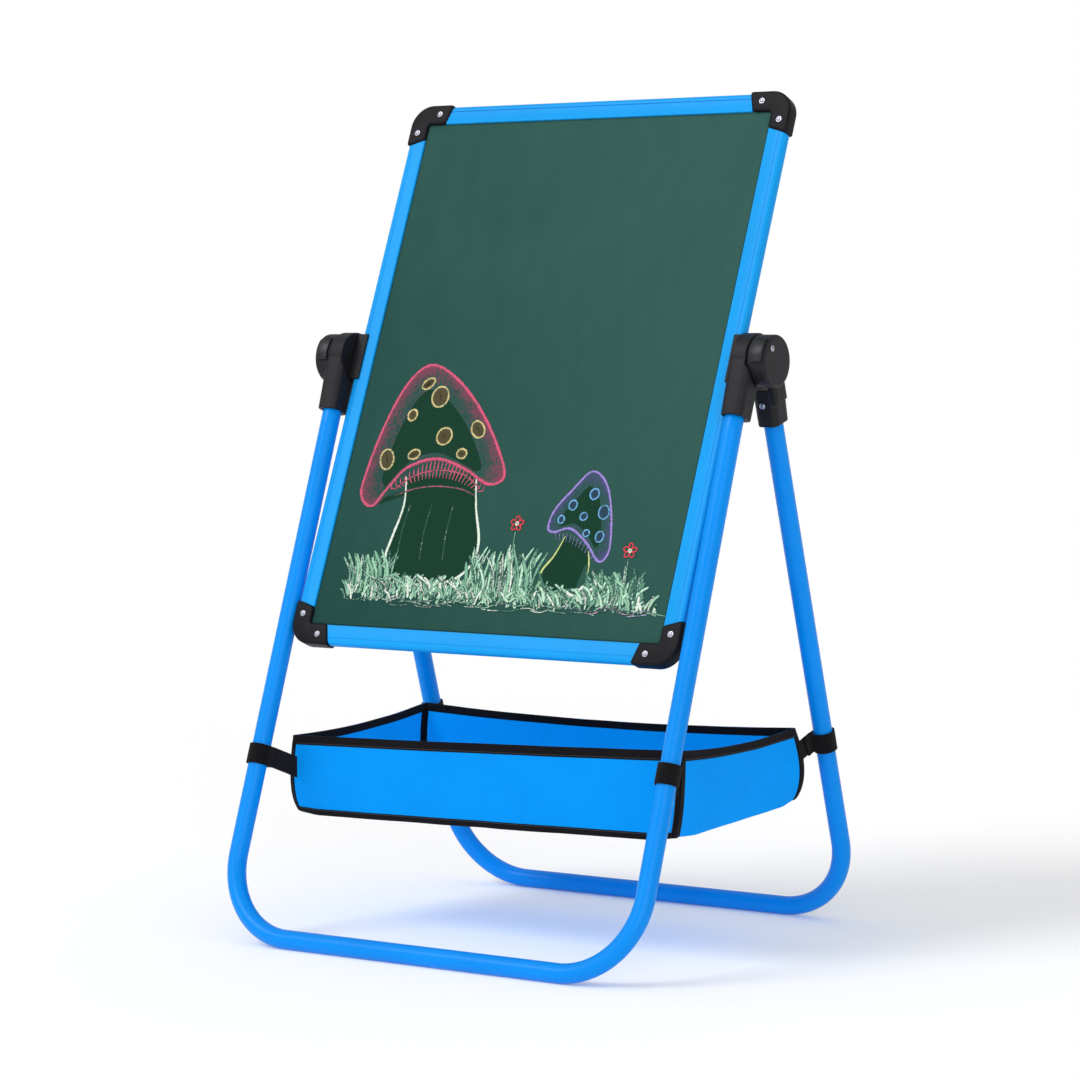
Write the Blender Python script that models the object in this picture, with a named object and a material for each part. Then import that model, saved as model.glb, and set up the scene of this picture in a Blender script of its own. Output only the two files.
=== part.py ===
# Double-sided children's easel: two bent-tube U frames joined by folding hinge heads, a framed board that
# turns between them, and a fabric basket strapped to the four legs.
# Units are metres. +Z is up, the chalk side faces -Y, +X is the right-hand side seen from the chalk side.
# The origin is on the floor, midway between the front and rear feet.

import math

import bmesh
import bpy
from mathutils import Matrix, Vector

for old in list(bpy.data.objects):
    bpy.data.objects.remove(old, do_unlink=True)

# ---------------------------------------------------------------- driving dimensions
GAP = 0.0003              # between pieces that touch
RUN = 0.0010              # between faces that slide past each other

# stand
HINGE_Z = 0.570           # height of the hinge axis
TUBE_R = 0.0095
TUBE_WALL = 0.0012
TUBE_SIDES = 20
BEND_R = 0.080            # centre-line radius of the two bends of each U
BEND_STEPS = 8
LEG_GAP = 0.0018          # from a leg's inner side to a corner cap
FRONT_ANGLE = math.radians(20.4)
REAR_ANGLE = math.radians(17.2)
FRONT_OFFSET = 0.0128     # from the hinge axis forward to the front legs' centre line
REAR_OFFSET = 0.0205      # from the hinge axis back to the rear legs' centre line

# board, measured across its rails
BOARD_W = 0.453
BOARD_H = 0.587
BOARD_TILT = math.radians(22.8)
PIVOT_ABOVE_MIDDLE = 0.0135
RAIL_W = 0.020
RAIL_T = 0.012
RAIL_ROUND = 0.0045
RAIL_WALL = 0.0013        # of the hollow extrusion
SLOT_DEPTH = 0.0060       # of the groove that holds the panels
FACE_SHEET_T = 0.0013
CORE_T = 0.0038
FACE_STEP = 0.0006        # raised middle of each face sheet
FACE_MARGIN = 0.0011      # from the raised middle to the rails and caps

# corner caps
CAP_W = 0.0215
CAP_T = 0.0156
CAP_PROUD = 0.0010        # beyond the rails' outer edge
CAP_LEG_X = 0.048
CAP_LEG_Z = 0.044
CAP_CUT = 0.0060          # how much shorter a cap's leg is at its inner edge
CAP_ROUND = 0.024
CAP_INNER_ROUND = 0.003
CAP_EDGE = 0.0012
RIVET_INSET = CAP_PROUD + 0.475 * RAIL_W    # from the cap's outer edge, near the rail's middle
RIVET_ALONG_X = 0.033
RIVET_ALONG_Z = 0.030
RIVET_R = 0.0016
RIVET_HEAD_R = 0.0031
RIVET_HEAD_T = 0.0012

# hinge heads
BRACKET_HALF = 0.0245     # half the bracket's length along the rail
BRACKET_GRIP = 0.0085     # how far it reaches over the rail's face
BRACKET_PLATE = 0.0022
BRACKET_OUT = 0.0037      # from the rail's outer edge
HEAD_R = 0.0270
CHEEK_R = 0.0255
HEAD_T = 0.0160           # front head, along the axis
CHEEK_T = 0.0190          # rear head's outer cheek, along the axis
CHEEK_CAP = 0.0012        # closed end over the pin
PIN_R = 0.0040
SOCKET_WALL_IN = 0.0010
SOCKET_WALL_OUT = 0.0027
SOCKET_WALL_FAR = 0.0026  # on the side away from the other leg
SOCKET_WEB = 0.0052       # on the side towards the other leg
SOCKET_ROUND = 0.0075
SOCKET_FLARE = 0.0012     # the socket is this much thicker at its top
FRONT_SOCKET_END = 0.061  # from the hinge axis, along the leg
REAR_SOCKET_END = 0.069
FRONT_TUBE_TOP = 0.036
REAR_TUBE_TOP = 0.038
REAR_SOCKET_TOP = 0.0315
ARM_T = 0.0085            # of the arm between the cheek and the rear socket, along the axis
ARM_Y0 = 0.0045
ARM_TOP = 0.0060

# fold-lock buttons in the rear heads
BUTTON_W = 0.0136
BUTTON_H = 0.0178
BUTTON_Z0 = 0.0080
BUTTON_PROUD = 0.0016
BUTTON_BACK = 0.0105      # from the hinge axis to the button's inner face
BUTTON_TRAVEL = 0.0030
BUTTON_SIDE = 0.0030      # wall between the button and the cheek's inner side

# screws
SCREW_HEAD_R = 0.0032
SCREW_HEAD_T = 0.0012
SCREW_R = 0.0015
CHEEK_SCREW_Y = -0.0054
CHEEK_SCREW_Z = 0.0148
CHEEK_SCREW_LEN = 0.0016
SOCKET_SCREW_DOWN = 0.0474
SOCKET_SCREW_LEN = 0.0036

# basket, with y counted from the hinge axis
BASKET_SIDE_GAP = 0.0028  # from the basket's side to a leg's inner side
BASKET_FRONT = -0.113
BASKET_REAR = 0.101
BASKET_RIM = 0.2045
BASKET_FLOOR_FRONT = 0.120
BASKET_FLOOR_REAR = 0.133
BASKET_WALL = 0.0024
BASKET_ROUND = 0.010

# straps
STRAP_T = 0.0022
STRAP_SLACK = 0.0006
STRAP_WIDTH = 0.020
STRAP_TAIL_T = 0.0016
STRAP_LAP = 0.012         # of the tail along the basket's side
STRAP_Z = {"front_left": 0.178, "front_right": 0.191, "rear_left": 0.191, "rear_right": 0.191}

# ---------------------------------------------------------------- sizes that follow
CAP_OUT = BOARD_W / 2 + CAP_PROUD
LEG_X = CAP_OUT + LEG_GAP + TUBE_R
FACET = TUBE_R * math.cos(math.pi / TUBE_SIDES)
BOARD_UP = BOARD_H / 2 - PIVOT_ABOVE_MIDDLE
BOARD_DOWN = BOARD_H / 2 + PIVOT_ABOVE_MIDDLE
PANEL_T = 2 * FACE_SHEET_T + CORE_T + 2 * GAP
SLOT_T = PANEL_T + 2 * GAP
BRACKET_X = BOARD_W / 2 + BRACKET_OUT
BRACKET_SWING = math.hypot(BRACKET_HALF, RAIL_T / 2 + GAP + BRACKET_PLATE)
HEAD_X0 = BRACKET_X + RUN
HEAD_X1 = HEAD_X0 + HEAD_T
CHEEK_X0 = HEAD_X1 + RUN * 0.7
CHEEK_X1 = CHEEK_X0 + CHEEK_T
SOCKET_X0 = LEG_X - TUBE_R - GAP - SOCKET_WALL_IN
SOCKET_X1 = LEG_X + TUBE_R + GAP + SOCKET_WALL_OUT
BASKET_X = LEG_X - TUBE_R - BASKET_SIDE_GAP


def leg_bottom(angle, offset):
    """Distance along a leg from the hinge axis to the bottom tube, which stands on z = 0."""
    return (HINGE_Z - FACET + offset * math.sin(angle)) / math.cos(angle)


FRONT_LEN = leg_bottom(FRONT_ANGLE, FRONT_OFFSET)
REAR_LEN = leg_bottom(REAR_ANGLE, REAR_OFFSET)
FRONT_FOOT = -FRONT_LEN * math.sin(FRONT_ANGLE) - FRONT_OFFSET * math.cos(FRONT_ANGLE)
REAR_FOOT = REAR_LEN * math.sin(REAR_ANGLE) + REAR_OFFSET * math.cos(REAR_ANGLE)
HINGE_Y = -(FRONT_FOOT + REAR_FOOT) / 2


# ---------------------------------------------------------------- materials
def material(name, rgb, rough, metal=0.0):
    mat = bpy.data.materials.new(name)
    mat.use_nodes = True
    node = mat.node_tree.nodes["Principled BSDF"]
    node.inputs["Base Color"].default_value = (*rgb, 1.0)
    node.inputs["Roughness"].default_value = rough
    node.inputs["Metallic"].default_value = metal
    mat.diffuse_color = (*rgb, 1.0)
    return mat


BLUE_PAINT = (0.010, 0.305, 0.871)
BLUE_CLOTH = (0.004, 0.305, 0.930)
BLACK_PLASTIC = (0.020, 0.020, 0.024)
BLACK_WEB = (0.012, 0.011, 0.013)
CHALK_GREEN = (0.035, 0.085, 0.066)
WHITE_ENAMEL = (0.86, 0.87, 0.87)
CORE_BROWN = (0.35, 0.25, 0.15)
STEEL = (0.62, 0.62, 0.66)


# ---------------------------------------------------------------- modelling helpers
def empty(name, at, tilt):
    obj = bpy.data.objects.new(name, None)
    obj.location = at
    obj.rotation_euler = (tilt, 0.0, 0.0)
    bpy.context.collection.objects.link(obj)
    return obj


def build(name, bm, look, parent=None, smooth=40.0):
    """Turns a bmesh into the named object, with its own material, under the given parent."""
    bmesh.ops.recalc_face_normals(bm, faces=bm.faces[:])
    mesh = bpy.data.meshes.new(name)
    bm.to_mesh(mesh)
    bm.free()
    mesh.shade_smooth()
    mesh.set_sharp_from_angle(angle=math.radians(smooth))
    obj = bpy.data.objects.new(name, mesh)
    bpy.context.collection.objects.link(obj)
    mesh.materials.append(material(name, *look))
    obj.parent = parent
    return obj


def combine(obj, tools, operation):
    """Applies Booleans of the given kind, and removes the tool shapes."""
    for bm in tools:
        bmesh.ops.recalc_face_normals(bm, faces=bm.faces[:])
        mesh = bpy.data.meshes.new("tool")
        bm.to_mesh(mesh)
        bm.free()
        tool = bpy.data.objects.new("tool", mesh)
        bpy.context.collection.objects.link(tool)
        tool.parent = obj.parent
        mod = obj.modifiers.new("cut", "BOOLEAN")
        mod.operation = operation
        mod.solver = "EXACT"
        mod.object = tool
        bpy.context.view_layer.update()
        done = bpy.data.meshes.new_from_object(obj.evaluated_get(bpy.context.evaluated_depsgraph_get()))
        obj.modifiers.clear()
        before = obj.data
        obj.data = done
        done.name = obj.name
        bpy.data.meshes.remove(before)
        bpy.data.objects.remove(tool, do_unlink=True)
    return obj


def loft(rings):
    """A closed solid through rings that have the same number of points."""
    bm = bmesh.new()
    rows = [[bm.verts.new(p) for p in ring] for ring in rings]
    count = len(rows[0])
    for a, b in zip(rows, rows[1:]):
        for i in range(count):
            j = (i + 1) % count
            bm.faces.new((a[i], a[j], b[j], b[i]))
    bm.faces.new(rows[0][::-1])
    bm.faces.new(rows[-1])
    bmesh.ops.recalc_face_normals(bm, faces=bm.faces[:])
    return bm


def block(x0, x1, y0, y1, z0, z1):
    bm = bmesh.new()
    size = Matrix.Diagonal((x1 - x0, y1 - y0, z1 - z0, 1.0))
    at = Matrix.Translation(((x0 + x1) / 2, (y0 + y1) / 2, (z0 + z1) / 2))
    bmesh.ops.create_cube(bm, size=1.0, matrix=at @ size)
    return bm


def cylinder(axis, radius, start, end, at=(0.0, 0.0), sides=32):
    """A cylinder along X, Y or Z; `at` gives the other two coordinates in their usual order."""
    turn = {"X": Matrix.Rotation(math.pi / 2, 4, "Y"), "Y": Matrix.Rotation(-math.pi / 2, 4, "X"),
            "Z": Matrix.Identity(4)}[axis]
    mid = (start + end) / 2
    place = {"X": (mid, at[0], at[1]), "Y": (at[0], mid, at[1]), "Z": (at[0], at[1], mid)}[axis]
    bm = bmesh.new()
    bmesh.ops.create_cone(bm, cap_ends=True, segments=sides, radius1=radius, radius2=radius,
                          depth=abs(end - start), matrix=Matrix.Translation(place) @ turn)
    return bm


def round_edges(bm, picked, size, steps=2):
    bmesh.ops.bevel(bm, geom=picked, offset=size, segments=steps, affect="EDGES", profile=0.5,
                    material=-1)
    return bm


def side_of(bm, side):
    """Turns a right-hand shape into the left-hand one when side is -1."""
    if side < 0:
        bmesh.ops.transform(bm, matrix=Matrix.Diagonal((-1.0, 1.0, 1.0, 1.0)), verts=bm.verts[:])
        bmesh.ops.reverse_faces(bm, faces=bm.faces[:])
    return bm


def circle_points(radius, count):
    return [(radius * math.cos(math.tau * i / count), radius * math.sin(math.tau * i / count))
            for i in range(count)]


def rounded_rect(x0, x1, y0, y1, radius, steps=4):
    points = []
    for cx, cy, first in ((x1 - radius, y1 - radius, 0.0), (x0 + radius, y1 - radius, 0.5),
                          (x0 + radius, y0 + radius, 1.0), (x1 - radius, y0 + radius, 1.5)):
        for i in range(steps + 1):
            a = math.pi * (first + 0.5 * i / steps)
            points.append((cx + radius * math.cos(a), cy + radius * math.sin(a)))
    return points


def screw(length, sides=14):
    """A domed screw along +Z: its shank goes down from 0 and its head stands on the surface at 0."""
    shape = ((0.55, SCREW_HEAD_T), (0.9, SCREW_HEAD_T * 0.65), (1.0, 0.0))
    rings = [[(x, y, GAP + h) for x, y in circle_points(SCREW_HEAD_R * k, sides)] for k, h in shape]
    rings.append([(x, y, GAP) for x, y in circle_points(SCREW_R, sides)])
    rings.append([(x, y, -length) for x, y in circle_points(SCREW_R, sides)])
    return loft(rings)


# ---------------------------------------------------------------- pivots
front_axis = empty("front_axis", (0.0, HINGE_Y, HINGE_Z), -FRONT_ANGLE)
rear_axis = empty("rear_axis", (0.0, HINGE_Y, HINGE_Z), REAR_ANGLE)
board_axis = empty("board_axis", (0.0, HINGE_Y, HINGE_Z), -BOARD_TILT)


# ---------------------------------------------------------------- U-shaped tubes
def u_tube(name, parent, y, top, bottom, turn):
    """One tube: down the left leg, round a bend, along the floor, round a bend and up the right leg."""
    bm = bmesh.new()
    bmesh.ops.create_circle(bm, cap_ends=False, radius=TUBE_R, segments=TUBE_SIDES,
                            matrix=Matrix.Translation((-LEG_X, y, -top)) @ Matrix.Rotation(turn, 4, "Z"))
    ring = bm.edges[:]

    def straight(edges, move):
        geom = bmesh.ops.extrude_edge_only(bm, edges=edges)["geom"]
        verts = [g for g in geom if isinstance(g, bmesh.types.BMVert)]
        bmesh.ops.translate(bm, verts=verts, vec=move)
        fresh = set(verts)
        return [g for g in geom if isinstance(g, bmesh.types.BMEdge) and set(g.verts) <= fresh]

    def bend(edges, centre):
        last = bmesh.ops.spin(bm, geom=edges, cent=centre, axis=(0.0, 1.0, 0.0), dvec=(0.0, 0.0, 0.0),
                              angle=-math.pi / 2, steps=BEND_STEPS, use_duplicate=False)["geom_last"]
        return [g for g in last if isinstance(g, bmesh.types.BMEdge)]

    leg = bottom - BEND_R - top
    ring = straight(ring, (0.0, 0.0, -leg))
    ring = bend(ring, (-LEG_X + BEND_R, y, -bottom + BEND_R))
    ring = straight(ring, (2 * (LEG_X - BEND_R), 0.0, 0.0))
    ring = bend(ring, (LEG_X - BEND_R, y, -bottom + BEND_R))
    straight(ring, (0.0, 0.0, leg))
    bmesh.ops.recalc_face_normals(bm, faces=bm.faces[:])
    bm.faces.ensure_lookup_table()
    face = bm.faces[0]
    if face.normal.dot(face.calc_center_median() - Vector((-LEG_X, y, face.calc_center_median().z))) < 0:
        bmesh.ops.reverse_faces(bm, faces=bm.faces[:])
    mesh = bpy.data.meshes.new(name)
    bm.to_mesh(mesh)
    bm.free()
    mesh.shade_smooth()
    obj = bpy.data.objects.new(name, mesh)
    bpy.context.collection.objects.link(obj)
    mesh.materials.append(material(name, BLUE_PAINT, 0.3))
    obj.parent = parent
    wall = obj.modifiers.new("wall", "SOLIDIFY")
    wall.thickness = TUBE_WALL
    wall.offset = -1.0
    wall.use_rim = True
    return obj


HALF_SIDE = math.pi / TUBE_SIDES
u_tube("front_tube", front_axis, -FRONT_OFFSET, FRONT_TUBE_TOP, FRONT_LEN, HALF_SIDE - FRONT_ANGLE)
u_tube("rear_tube", rear_axis, REAR_OFFSET, REAR_TUBE_TOP, REAR_LEN, HALF_SIDE + REAR_ANGLE)


# ---------------------------------------------------------------- hinge heads
def disc_with_rounded_rim(radius, x0, x1, size):
    """A disc along X whose outer rim, the one at x1, is rounded."""
    disc = cylinder("X", radius, x0, x1, sides=36)
    rim = [e for e in disc.edges if min(v.co.x for v in e.verts) > x0 + 1e-4]
    return round_edges(disc, rim, size)


def socket(y_near, y_far, z_top, z_end):
    """Leg socket: y_near is its face towards the other leg, y_far the opposite face."""
    sign = 1.0 if y_near > y_far else -1.0
    low, high = sorted((y_near, y_far))
    rings = []
    for z, grow in ((-z_top, SOCKET_FLARE), (-z_end + 0.0015, 0.0), (-z_end, -0.0008)):
        y0 = low - (grow if sign > 0 else min(grow, 0.0))
        y1 = high + (grow if sign < 0 else min(grow, 0.0))
        x1 = SOCKET_X1 + grow
        x0 = SOCKET_X0 - min(grow, 0.0) * 0.3
        rings.append([(x, y, z) for x, y in rounded_rect(x0, x1, y0, y1, SOCKET_ROUND)])
    return loft(rings)


for side, label in ((-1, "left"), (1, "right")):
    bore = TUBE_R + GAP
    pin_hole = PIN_R + GAP

    # front head: a round head on the axis, with the front leg's socket under it
    far = -FRONT_OFFSET - bore - SOCKET_WALL_FAR
    near = -FRONT_OFFSET + bore + SOCKET_WEB
    disc = disc_with_rounded_rim(HEAD_R, HEAD_X0, HEAD_X1, 0.0015)
    head = build("head_front_" + label, side_of(disc, side), (BLACK_PLASTIC, 0.45), front_axis)
    combine(head, [side_of(socket(near, far, 0.008, FRONT_SOCKET_END), side)], "UNION")
    combine(head, [
        side_of(cylinder("X", BRACKET_SWING + RUN, SOCKET_X0 - 0.01, HEAD_X0, sides=36), side),
        side_of(cylinder("X", CHEEK_R + BUTTON_PROUD + RUN, HEAD_X1, CHEEK_X1 + 0.01, sides=36), side),
        side_of(cylinder("X", pin_hole, HEAD_X0 - 0.01, HEAD_X1 + 0.01, sides=20), side),
        side_of(cylinder("Z", bore, -FRONT_SOCKET_END - 0.01, -FRONT_TUBE_TOP + GAP, (LEG_X, -FRONT_OFFSET),
                         sides=24), side),
    ], "DIFFERENCE")

    # rear head: an outer cheek beside the front head, with an arm down to the rear leg's socket
    near = REAR_OFFSET - bore - SOCKET_WEB
    far = REAR_OFFSET + bore + SOCKET_WALL_FAR
    disc = disc_with_rounded_rim(CHEEK_R, CHEEK_X0, CHEEK_X1, 0.0022)
    cheek = build("head_rear_" + label, side_of(disc, side), (BLACK_PLASTIC, 0.45), rear_axis)
    arm = block(CHEEK_X0, CHEEK_X0 + ARM_T, ARM_Y0, far - 0.0060, -REAR_SOCKET_TOP - 0.014, -ARM_TOP)
    outer = [e for e in arm.edges if min(v.co.x for v in e.verts) > CHEEK_X0 + 0.004]
    long_edges = [e for e in outer if abs(e.verts[0].co.z - e.verts[1].co.z) > 0.01]
    round_edges(arm, long_edges, 0.004, 3)
    combine(cheek, [side_of(arm, side), side_of(socket(near, far, REAR_SOCKET_TOP, REAR_SOCKET_END), side)],
            "UNION")
    button_x0 = CHEEK_X0 + BUTTON_SIDE
    button_x1 = button_x0 + BUTTON_W
    screw_at = -SOCKET_SCREW_DOWN
    combine(cheek, [
        side_of(cylinder("X", pin_hole, CHEEK_X0 - 0.01, CHEEK_X1 - CHEEK_CAP, sides=20), side),
        side_of(cylinder("Z", bore, -REAR_SOCKET_END - 0.01, -REAR_TUBE_TOP + GAP, (LEG_X, REAR_OFFSET),
                         sides=24), side),
        side_of(block(button_x0 - GAP, button_x1 + GAP, -CHEEK_R - 0.01, -BUTTON_BACK + BUTTON_TRAVEL + 0.0005,
                      BUTTON_Z0 - GAP, BUTTON_Z0 + BUTTON_H + GAP), side),
        side_of(cylinder("X", SCREW_R + GAP, CHEEK_X1 - CHEEK_SCREW_LEN - GAP, CHEEK_X1 + 0.01,
                         (CHEEK_SCREW_Y, CHEEK_SCREW_Z), sides=14), side),
        side_of(cylinder("Y", SCREW_R + GAP, near - 0.01, near + SOCKET_SCREW_LEN + GAP, (LEG_X, screw_at),
                         sides=14), side),
    ], "DIFFERENCE")

    # fold-lock button: a key cut from the cheek's own round, standing a little proud of it
    key = cylinder("X", CHEEK_R + BUTTON_PROUD, button_x0, button_x1, sides=36)
    button = build("lock_button_" + label, side_of(key, side), (BLACK_PLASTIC, 0.35), rear_axis)
    combine(button, [side_of(block(button_x0 - 0.01, button_x1 + 0.01, -0.05, -BUTTON_BACK, BUTTON_Z0,
                                   BUTTON_Z0 + BUTTON_H), side)], "INTERSECT")

    # screws in the cheek's outer face and in the rear socket's front
    shank = screw(CHEEK_SCREW_LEN)
    bmesh.ops.transform(shank, verts=shank.verts[:], matrix=Matrix.Translation(
        (CHEEK_X1, CHEEK_SCREW_Y, CHEEK_SCREW_Z)) @ Matrix.Rotation(math.pi / 2, 4, "Y"))
    build("cheek_screw_" + label, side_of(shank, side), (STEEL, 0.3, 1.0), rear_axis)
    shank = screw(SOCKET_SCREW_LEN)
    bmesh.ops.transform(shank, verts=shank.verts[:], matrix=Matrix.Translation(
        (LEG_X, near, screw_at)) @ Matrix.Rotation(math.pi / 2, 4, "X"))
    build("socket_screw_" + label, side_of(shank, side), (STEEL, 0.3, 1.0), rear_axis)

    # rail bracket and the pivot pin that it carries
    grip = block(BOARD_W / 2 - BRACKET_GRIP, BRACKET_X, -RAIL_T / 2 - GAP - BRACKET_PLATE,
                 RAIL_T / 2 + GAP + BRACKET_PLATE, -BRACKET_HALF, BRACKET_HALF)
    round_edges(grip, grip.edges[:], 0.0009, 2)
    bracket = build("rail_bracket_" + label, side_of(grip, side), (BLACK_PLASTIC, 0.45), board_axis)
    combine(bracket, [
        side_of(block(BOARD_W / 2 - BRACKET_GRIP - 0.01, BOARD_W / 2 + GAP, -RAIL_T / 2 - GAP,
                      RAIL_T / 2 + GAP, -BRACKET_HALF - 0.01, BRACKET_HALF + 0.01), side),
        side_of(cylinder("X", pin_hole, BOARD_W / 2 - 0.001, BRACKET_X + 0.01, sides=20), side),
    ], "DIFFERENCE")
    pin = cylinder("X", PIN_R, BOARD_W / 2 + GAP, CHEEK_X1 - CHEEK_CAP - GAP, sides=20)
    build("pivot_pin_" + label, side_of(pin, side), (STEEL, 0.35, 1.0), board_axis)


# ---------------------------------------------------------------- board rails
def rail_profile():
    """Points (u, t): u goes inward from the outer edge, t from the front face to the back."""
    half = RAIL_T / 2
    points = [(RAIL_W, -half)]
    for centre_t, first in ((-half + RAIL_ROUND, 1.5), (half - RAIL_ROUND, 1.0)):
        for i in range(5):
            a = math.pi * (first - 0.5 * i / 4)
            points.append((RAIL_ROUND + RAIL_ROUND * math.cos(a), centre_t + RAIL_ROUND * math.sin(a)))
    points += [(RAIL_W, half), (RAIL_W, SLOT_T / 2), (RAIL_W - SLOT_DEPTH, SLOT_T / 2),
               (RAIL_W - SLOT_DEPTH, -SLOT_T / 2), (RAIL_W, -SLOT_T / 2)]
    return points


def chamber_profile():
    """The rail's hollow, a wall's thickness inside the profile and outward of the panel groove."""
    half = RAIL_T / 2 - RAIL_WALL
    deep = RAIL_W - SLOT_DEPTH - RAIL_WALL
    radius = RAIL_ROUND - RAIL_WALL
    points = [(deep, -half)]
    for centre_t, first in ((-half + radius, 1.5), (half - radius, 1.0)):
        for i in range(5):
            a = math.pi * (first - 0.5 * i / 4)
            points.append((RAIL_ROUND + radius * math.cos(a), centre_t + radius * math.sin(a)))
    return points + [(deep, half)]


def rail(name, length, leg, place):
    """A rail with both ends cut on the caps' slant; place maps (along, inward, depth) to the board."""
    reach = length / 2 - leg - GAP
    ends, hollow = [], []
    for way in (-1.0, 1.0):
        ends.append([place(way * (reach + CAP_CUT * u / RAIL_W), u, t) for u, t in rail_profile()])
        hollow.append([place(way * length / 2, u, t) for u, t in chamber_profile()])
    combine(build(name, loft(ends), (BLUE_PAINT, 0.35), board_axis), [loft(hollow)], "DIFFERENCE")


MID_Z = -PIVOT_ABOVE_MIDDLE
rail("rail_top", BOARD_W, CAP_LEG_X, lambda s, u, t: (s, t, BOARD_UP - u))
rail("rail_bottom", BOARD_W, CAP_LEG_X, lambda s, u, t: (s, t, -BOARD_DOWN + u))
rail("rail_left", BOARD_H, CAP_LEG_Z, lambda s, u, t: (-BOARD_W / 2 + u, t, MID_Z + s))
rail("rail_right", BOARD_H, CAP_LEG_Z, lambda s, u, t: (BOARD_W / 2 - u, t, MID_Z + s))

# ---------------------------------------------------------------- panels
PANEL_X = BOARD_W / 2 - RAIL_W + SLOT_DEPTH - GAP
PANEL_Z = BOARD_H / 2 - RAIL_W + SLOT_DEPTH - GAP
FACE_EDGE = max(RAIL_W, CAP_W - CAP_PROUD) + FACE_MARGIN


def face_sheet(name, outer_t, way, look):
    """A face sheet whose middle stands FACE_STEP above its margin, clear of the rails and caps."""
    inner_t = outer_t - way * FACE_SHEET_T
    bm = block(-PANEL_X, PANEL_X, min(outer_t, inner_t), max(outer_t, inner_t), MID_Z - PANEL_Z,
               MID_Z + PANEL_Z)
    face = [f for f in bm.faces if f.normal.y * way > 0.9]
    bmesh.ops.inset_region(bm, faces=face, thickness=FACE_EDGE - RAIL_W + SLOT_DEPTH - GAP,
                           use_even_offset=True)
    raised = bmesh.ops.extrude_face_region(bm, geom=face)["geom"]
    bmesh.ops.delete(bm, geom=face, context="FACES")
    bmesh.ops.translate(bm, vec=(0.0, way * FACE_STEP, 0.0),
                        verts=[g for g in raised if isinstance(g, bmesh.types.BMVert)])
    build(name, bm, look, board_axis)


face_sheet("chalk_panel", -PANEL_T / 2, -1.0, (CHALK_GREEN, 0.85))
face_sheet("white_panel", PANEL_T / 2, 1.0, (WHITE_ENAMEL, 0.2))
build("panel_core", block(-PANEL_X, PANEL_X, -CORE_T / 2, CORE_T / 2, MID_Z - PANEL_Z, MID_Z + PANEL_Z),
      (CORE_BROWN, 0.9), board_axis)


# ---------------------------------------------------------------- corner caps and their rivets
def cap_outline():
    """The cap in its own corner: a runs along the width, b along the height, both from the rails' edges."""
    slope = CAP_CUT / RAIL_W
    inner = CAP_W - CAP_PROUD
    centre = CAP_ROUND - CAP_PROUD
    points = []
    for i in range(9):
        a = math.pi * (1.0 + 0.5 * i / 8)
        points.append((centre + CAP_ROUND * math.cos(a), centre + CAP_ROUND * math.sin(a)))
    points += [(CAP_LEG_X + slope * CAP_PROUD, -CAP_PROUD), (CAP_LEG_X - slope * inner, inner)]
    for i in range(4):
        a = math.pi * (1.5 - 0.5 * i / 3)
        points.append((inner + CAP_INNER_ROUND * (1 + math.cos(a)),
                       inner + CAP_INNER_ROUND * (1 + math.sin(a))))
    points += [(inner, CAP_LEG_Z - slope * inner), (-CAP_PROUD, CAP_LEG_Z + slope * CAP_PROUD)]
    return points


RIVET_SPOTS = (("x", RIVET_ALONG_X, RIVET_INSET - CAP_PROUD), ("z", RIVET_INSET - CAP_PROUD, RIVET_ALONG_Z))


def rivet(x, z):
    half = CAP_T / 2 + GAP
    shape = [(0.5 * RIVET_HEAD_R, half + RIVET_HEAD_T), (0.88 * RIVET_HEAD_R, half + 0.7 * RIVET_HEAD_T),
             (RIVET_HEAD_R, half), (RIVET_R, half)]
    shape += [(r, -y) for r, y in reversed(shape)]
    return loft([[(x + px, y, z + pz) for px, pz in circle_points(r, 12)] for r, y in shape])


CORNERS = (("top_left", -1, 1), ("top_right", 1, 1), ("bottom_left", -1, -1), ("bottom_right", 1, -1))

for label, sx, sz in CORNERS:
    corner_z = BOARD_UP if sz > 0 else -BOARD_DOWN

    def spot(a, b):
        return sx * (BOARD_W / 2 - a), corner_z - sz * b

    rings = []
    for t in (-CAP_T / 2, CAP_T / 2):
        rings.append([(spot(a, b)[0], t, spot(a, b)[1]) for a, b in cap_outline()])
    bm = loft(rings)
    edges = [e for e in bm.edges if abs(e.verts[0].co.y - e.verts[1].co.y) < 1e-6]
    round_edges(bm, edges, CAP_EDGE, 2)
    cap = build("corner_cap_" + label, bm, (BLACK_PLASTIC, 0.4), board_axis)
    cuts = [block(-PANEL_X - GAP, PANEL_X + GAP, -SLOT_T / 2, SLOT_T / 2, MID_Z - PANEL_Z - GAP,
                  MID_Z + PANEL_Z + GAP)]
    for _, a, b in RIVET_SPOTS:
        cuts.append(cylinder("Y", RIVET_R + GAP, -CAP_T, CAP_T, spot(a, b), sides=12))
    combine(cap, cuts, "DIFFERENCE")
    for way, a, b in RIVET_SPOTS:
        build("rivet_" + label + "_" + way, rivet(*spot(a, b)), (STEEL, 0.3, 1.0), board_axis)

# ---------------------------------------------------------------- basket
front, rear = HINGE_Y + BASKET_FRONT, HINGE_Y + BASKET_REAR


def floor_at(y):
    return BASKET_FLOOR_FRONT + (BASKET_FLOOR_REAR - BASKET_FLOOR_FRONT) * (y - front) / (rear - front)


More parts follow.
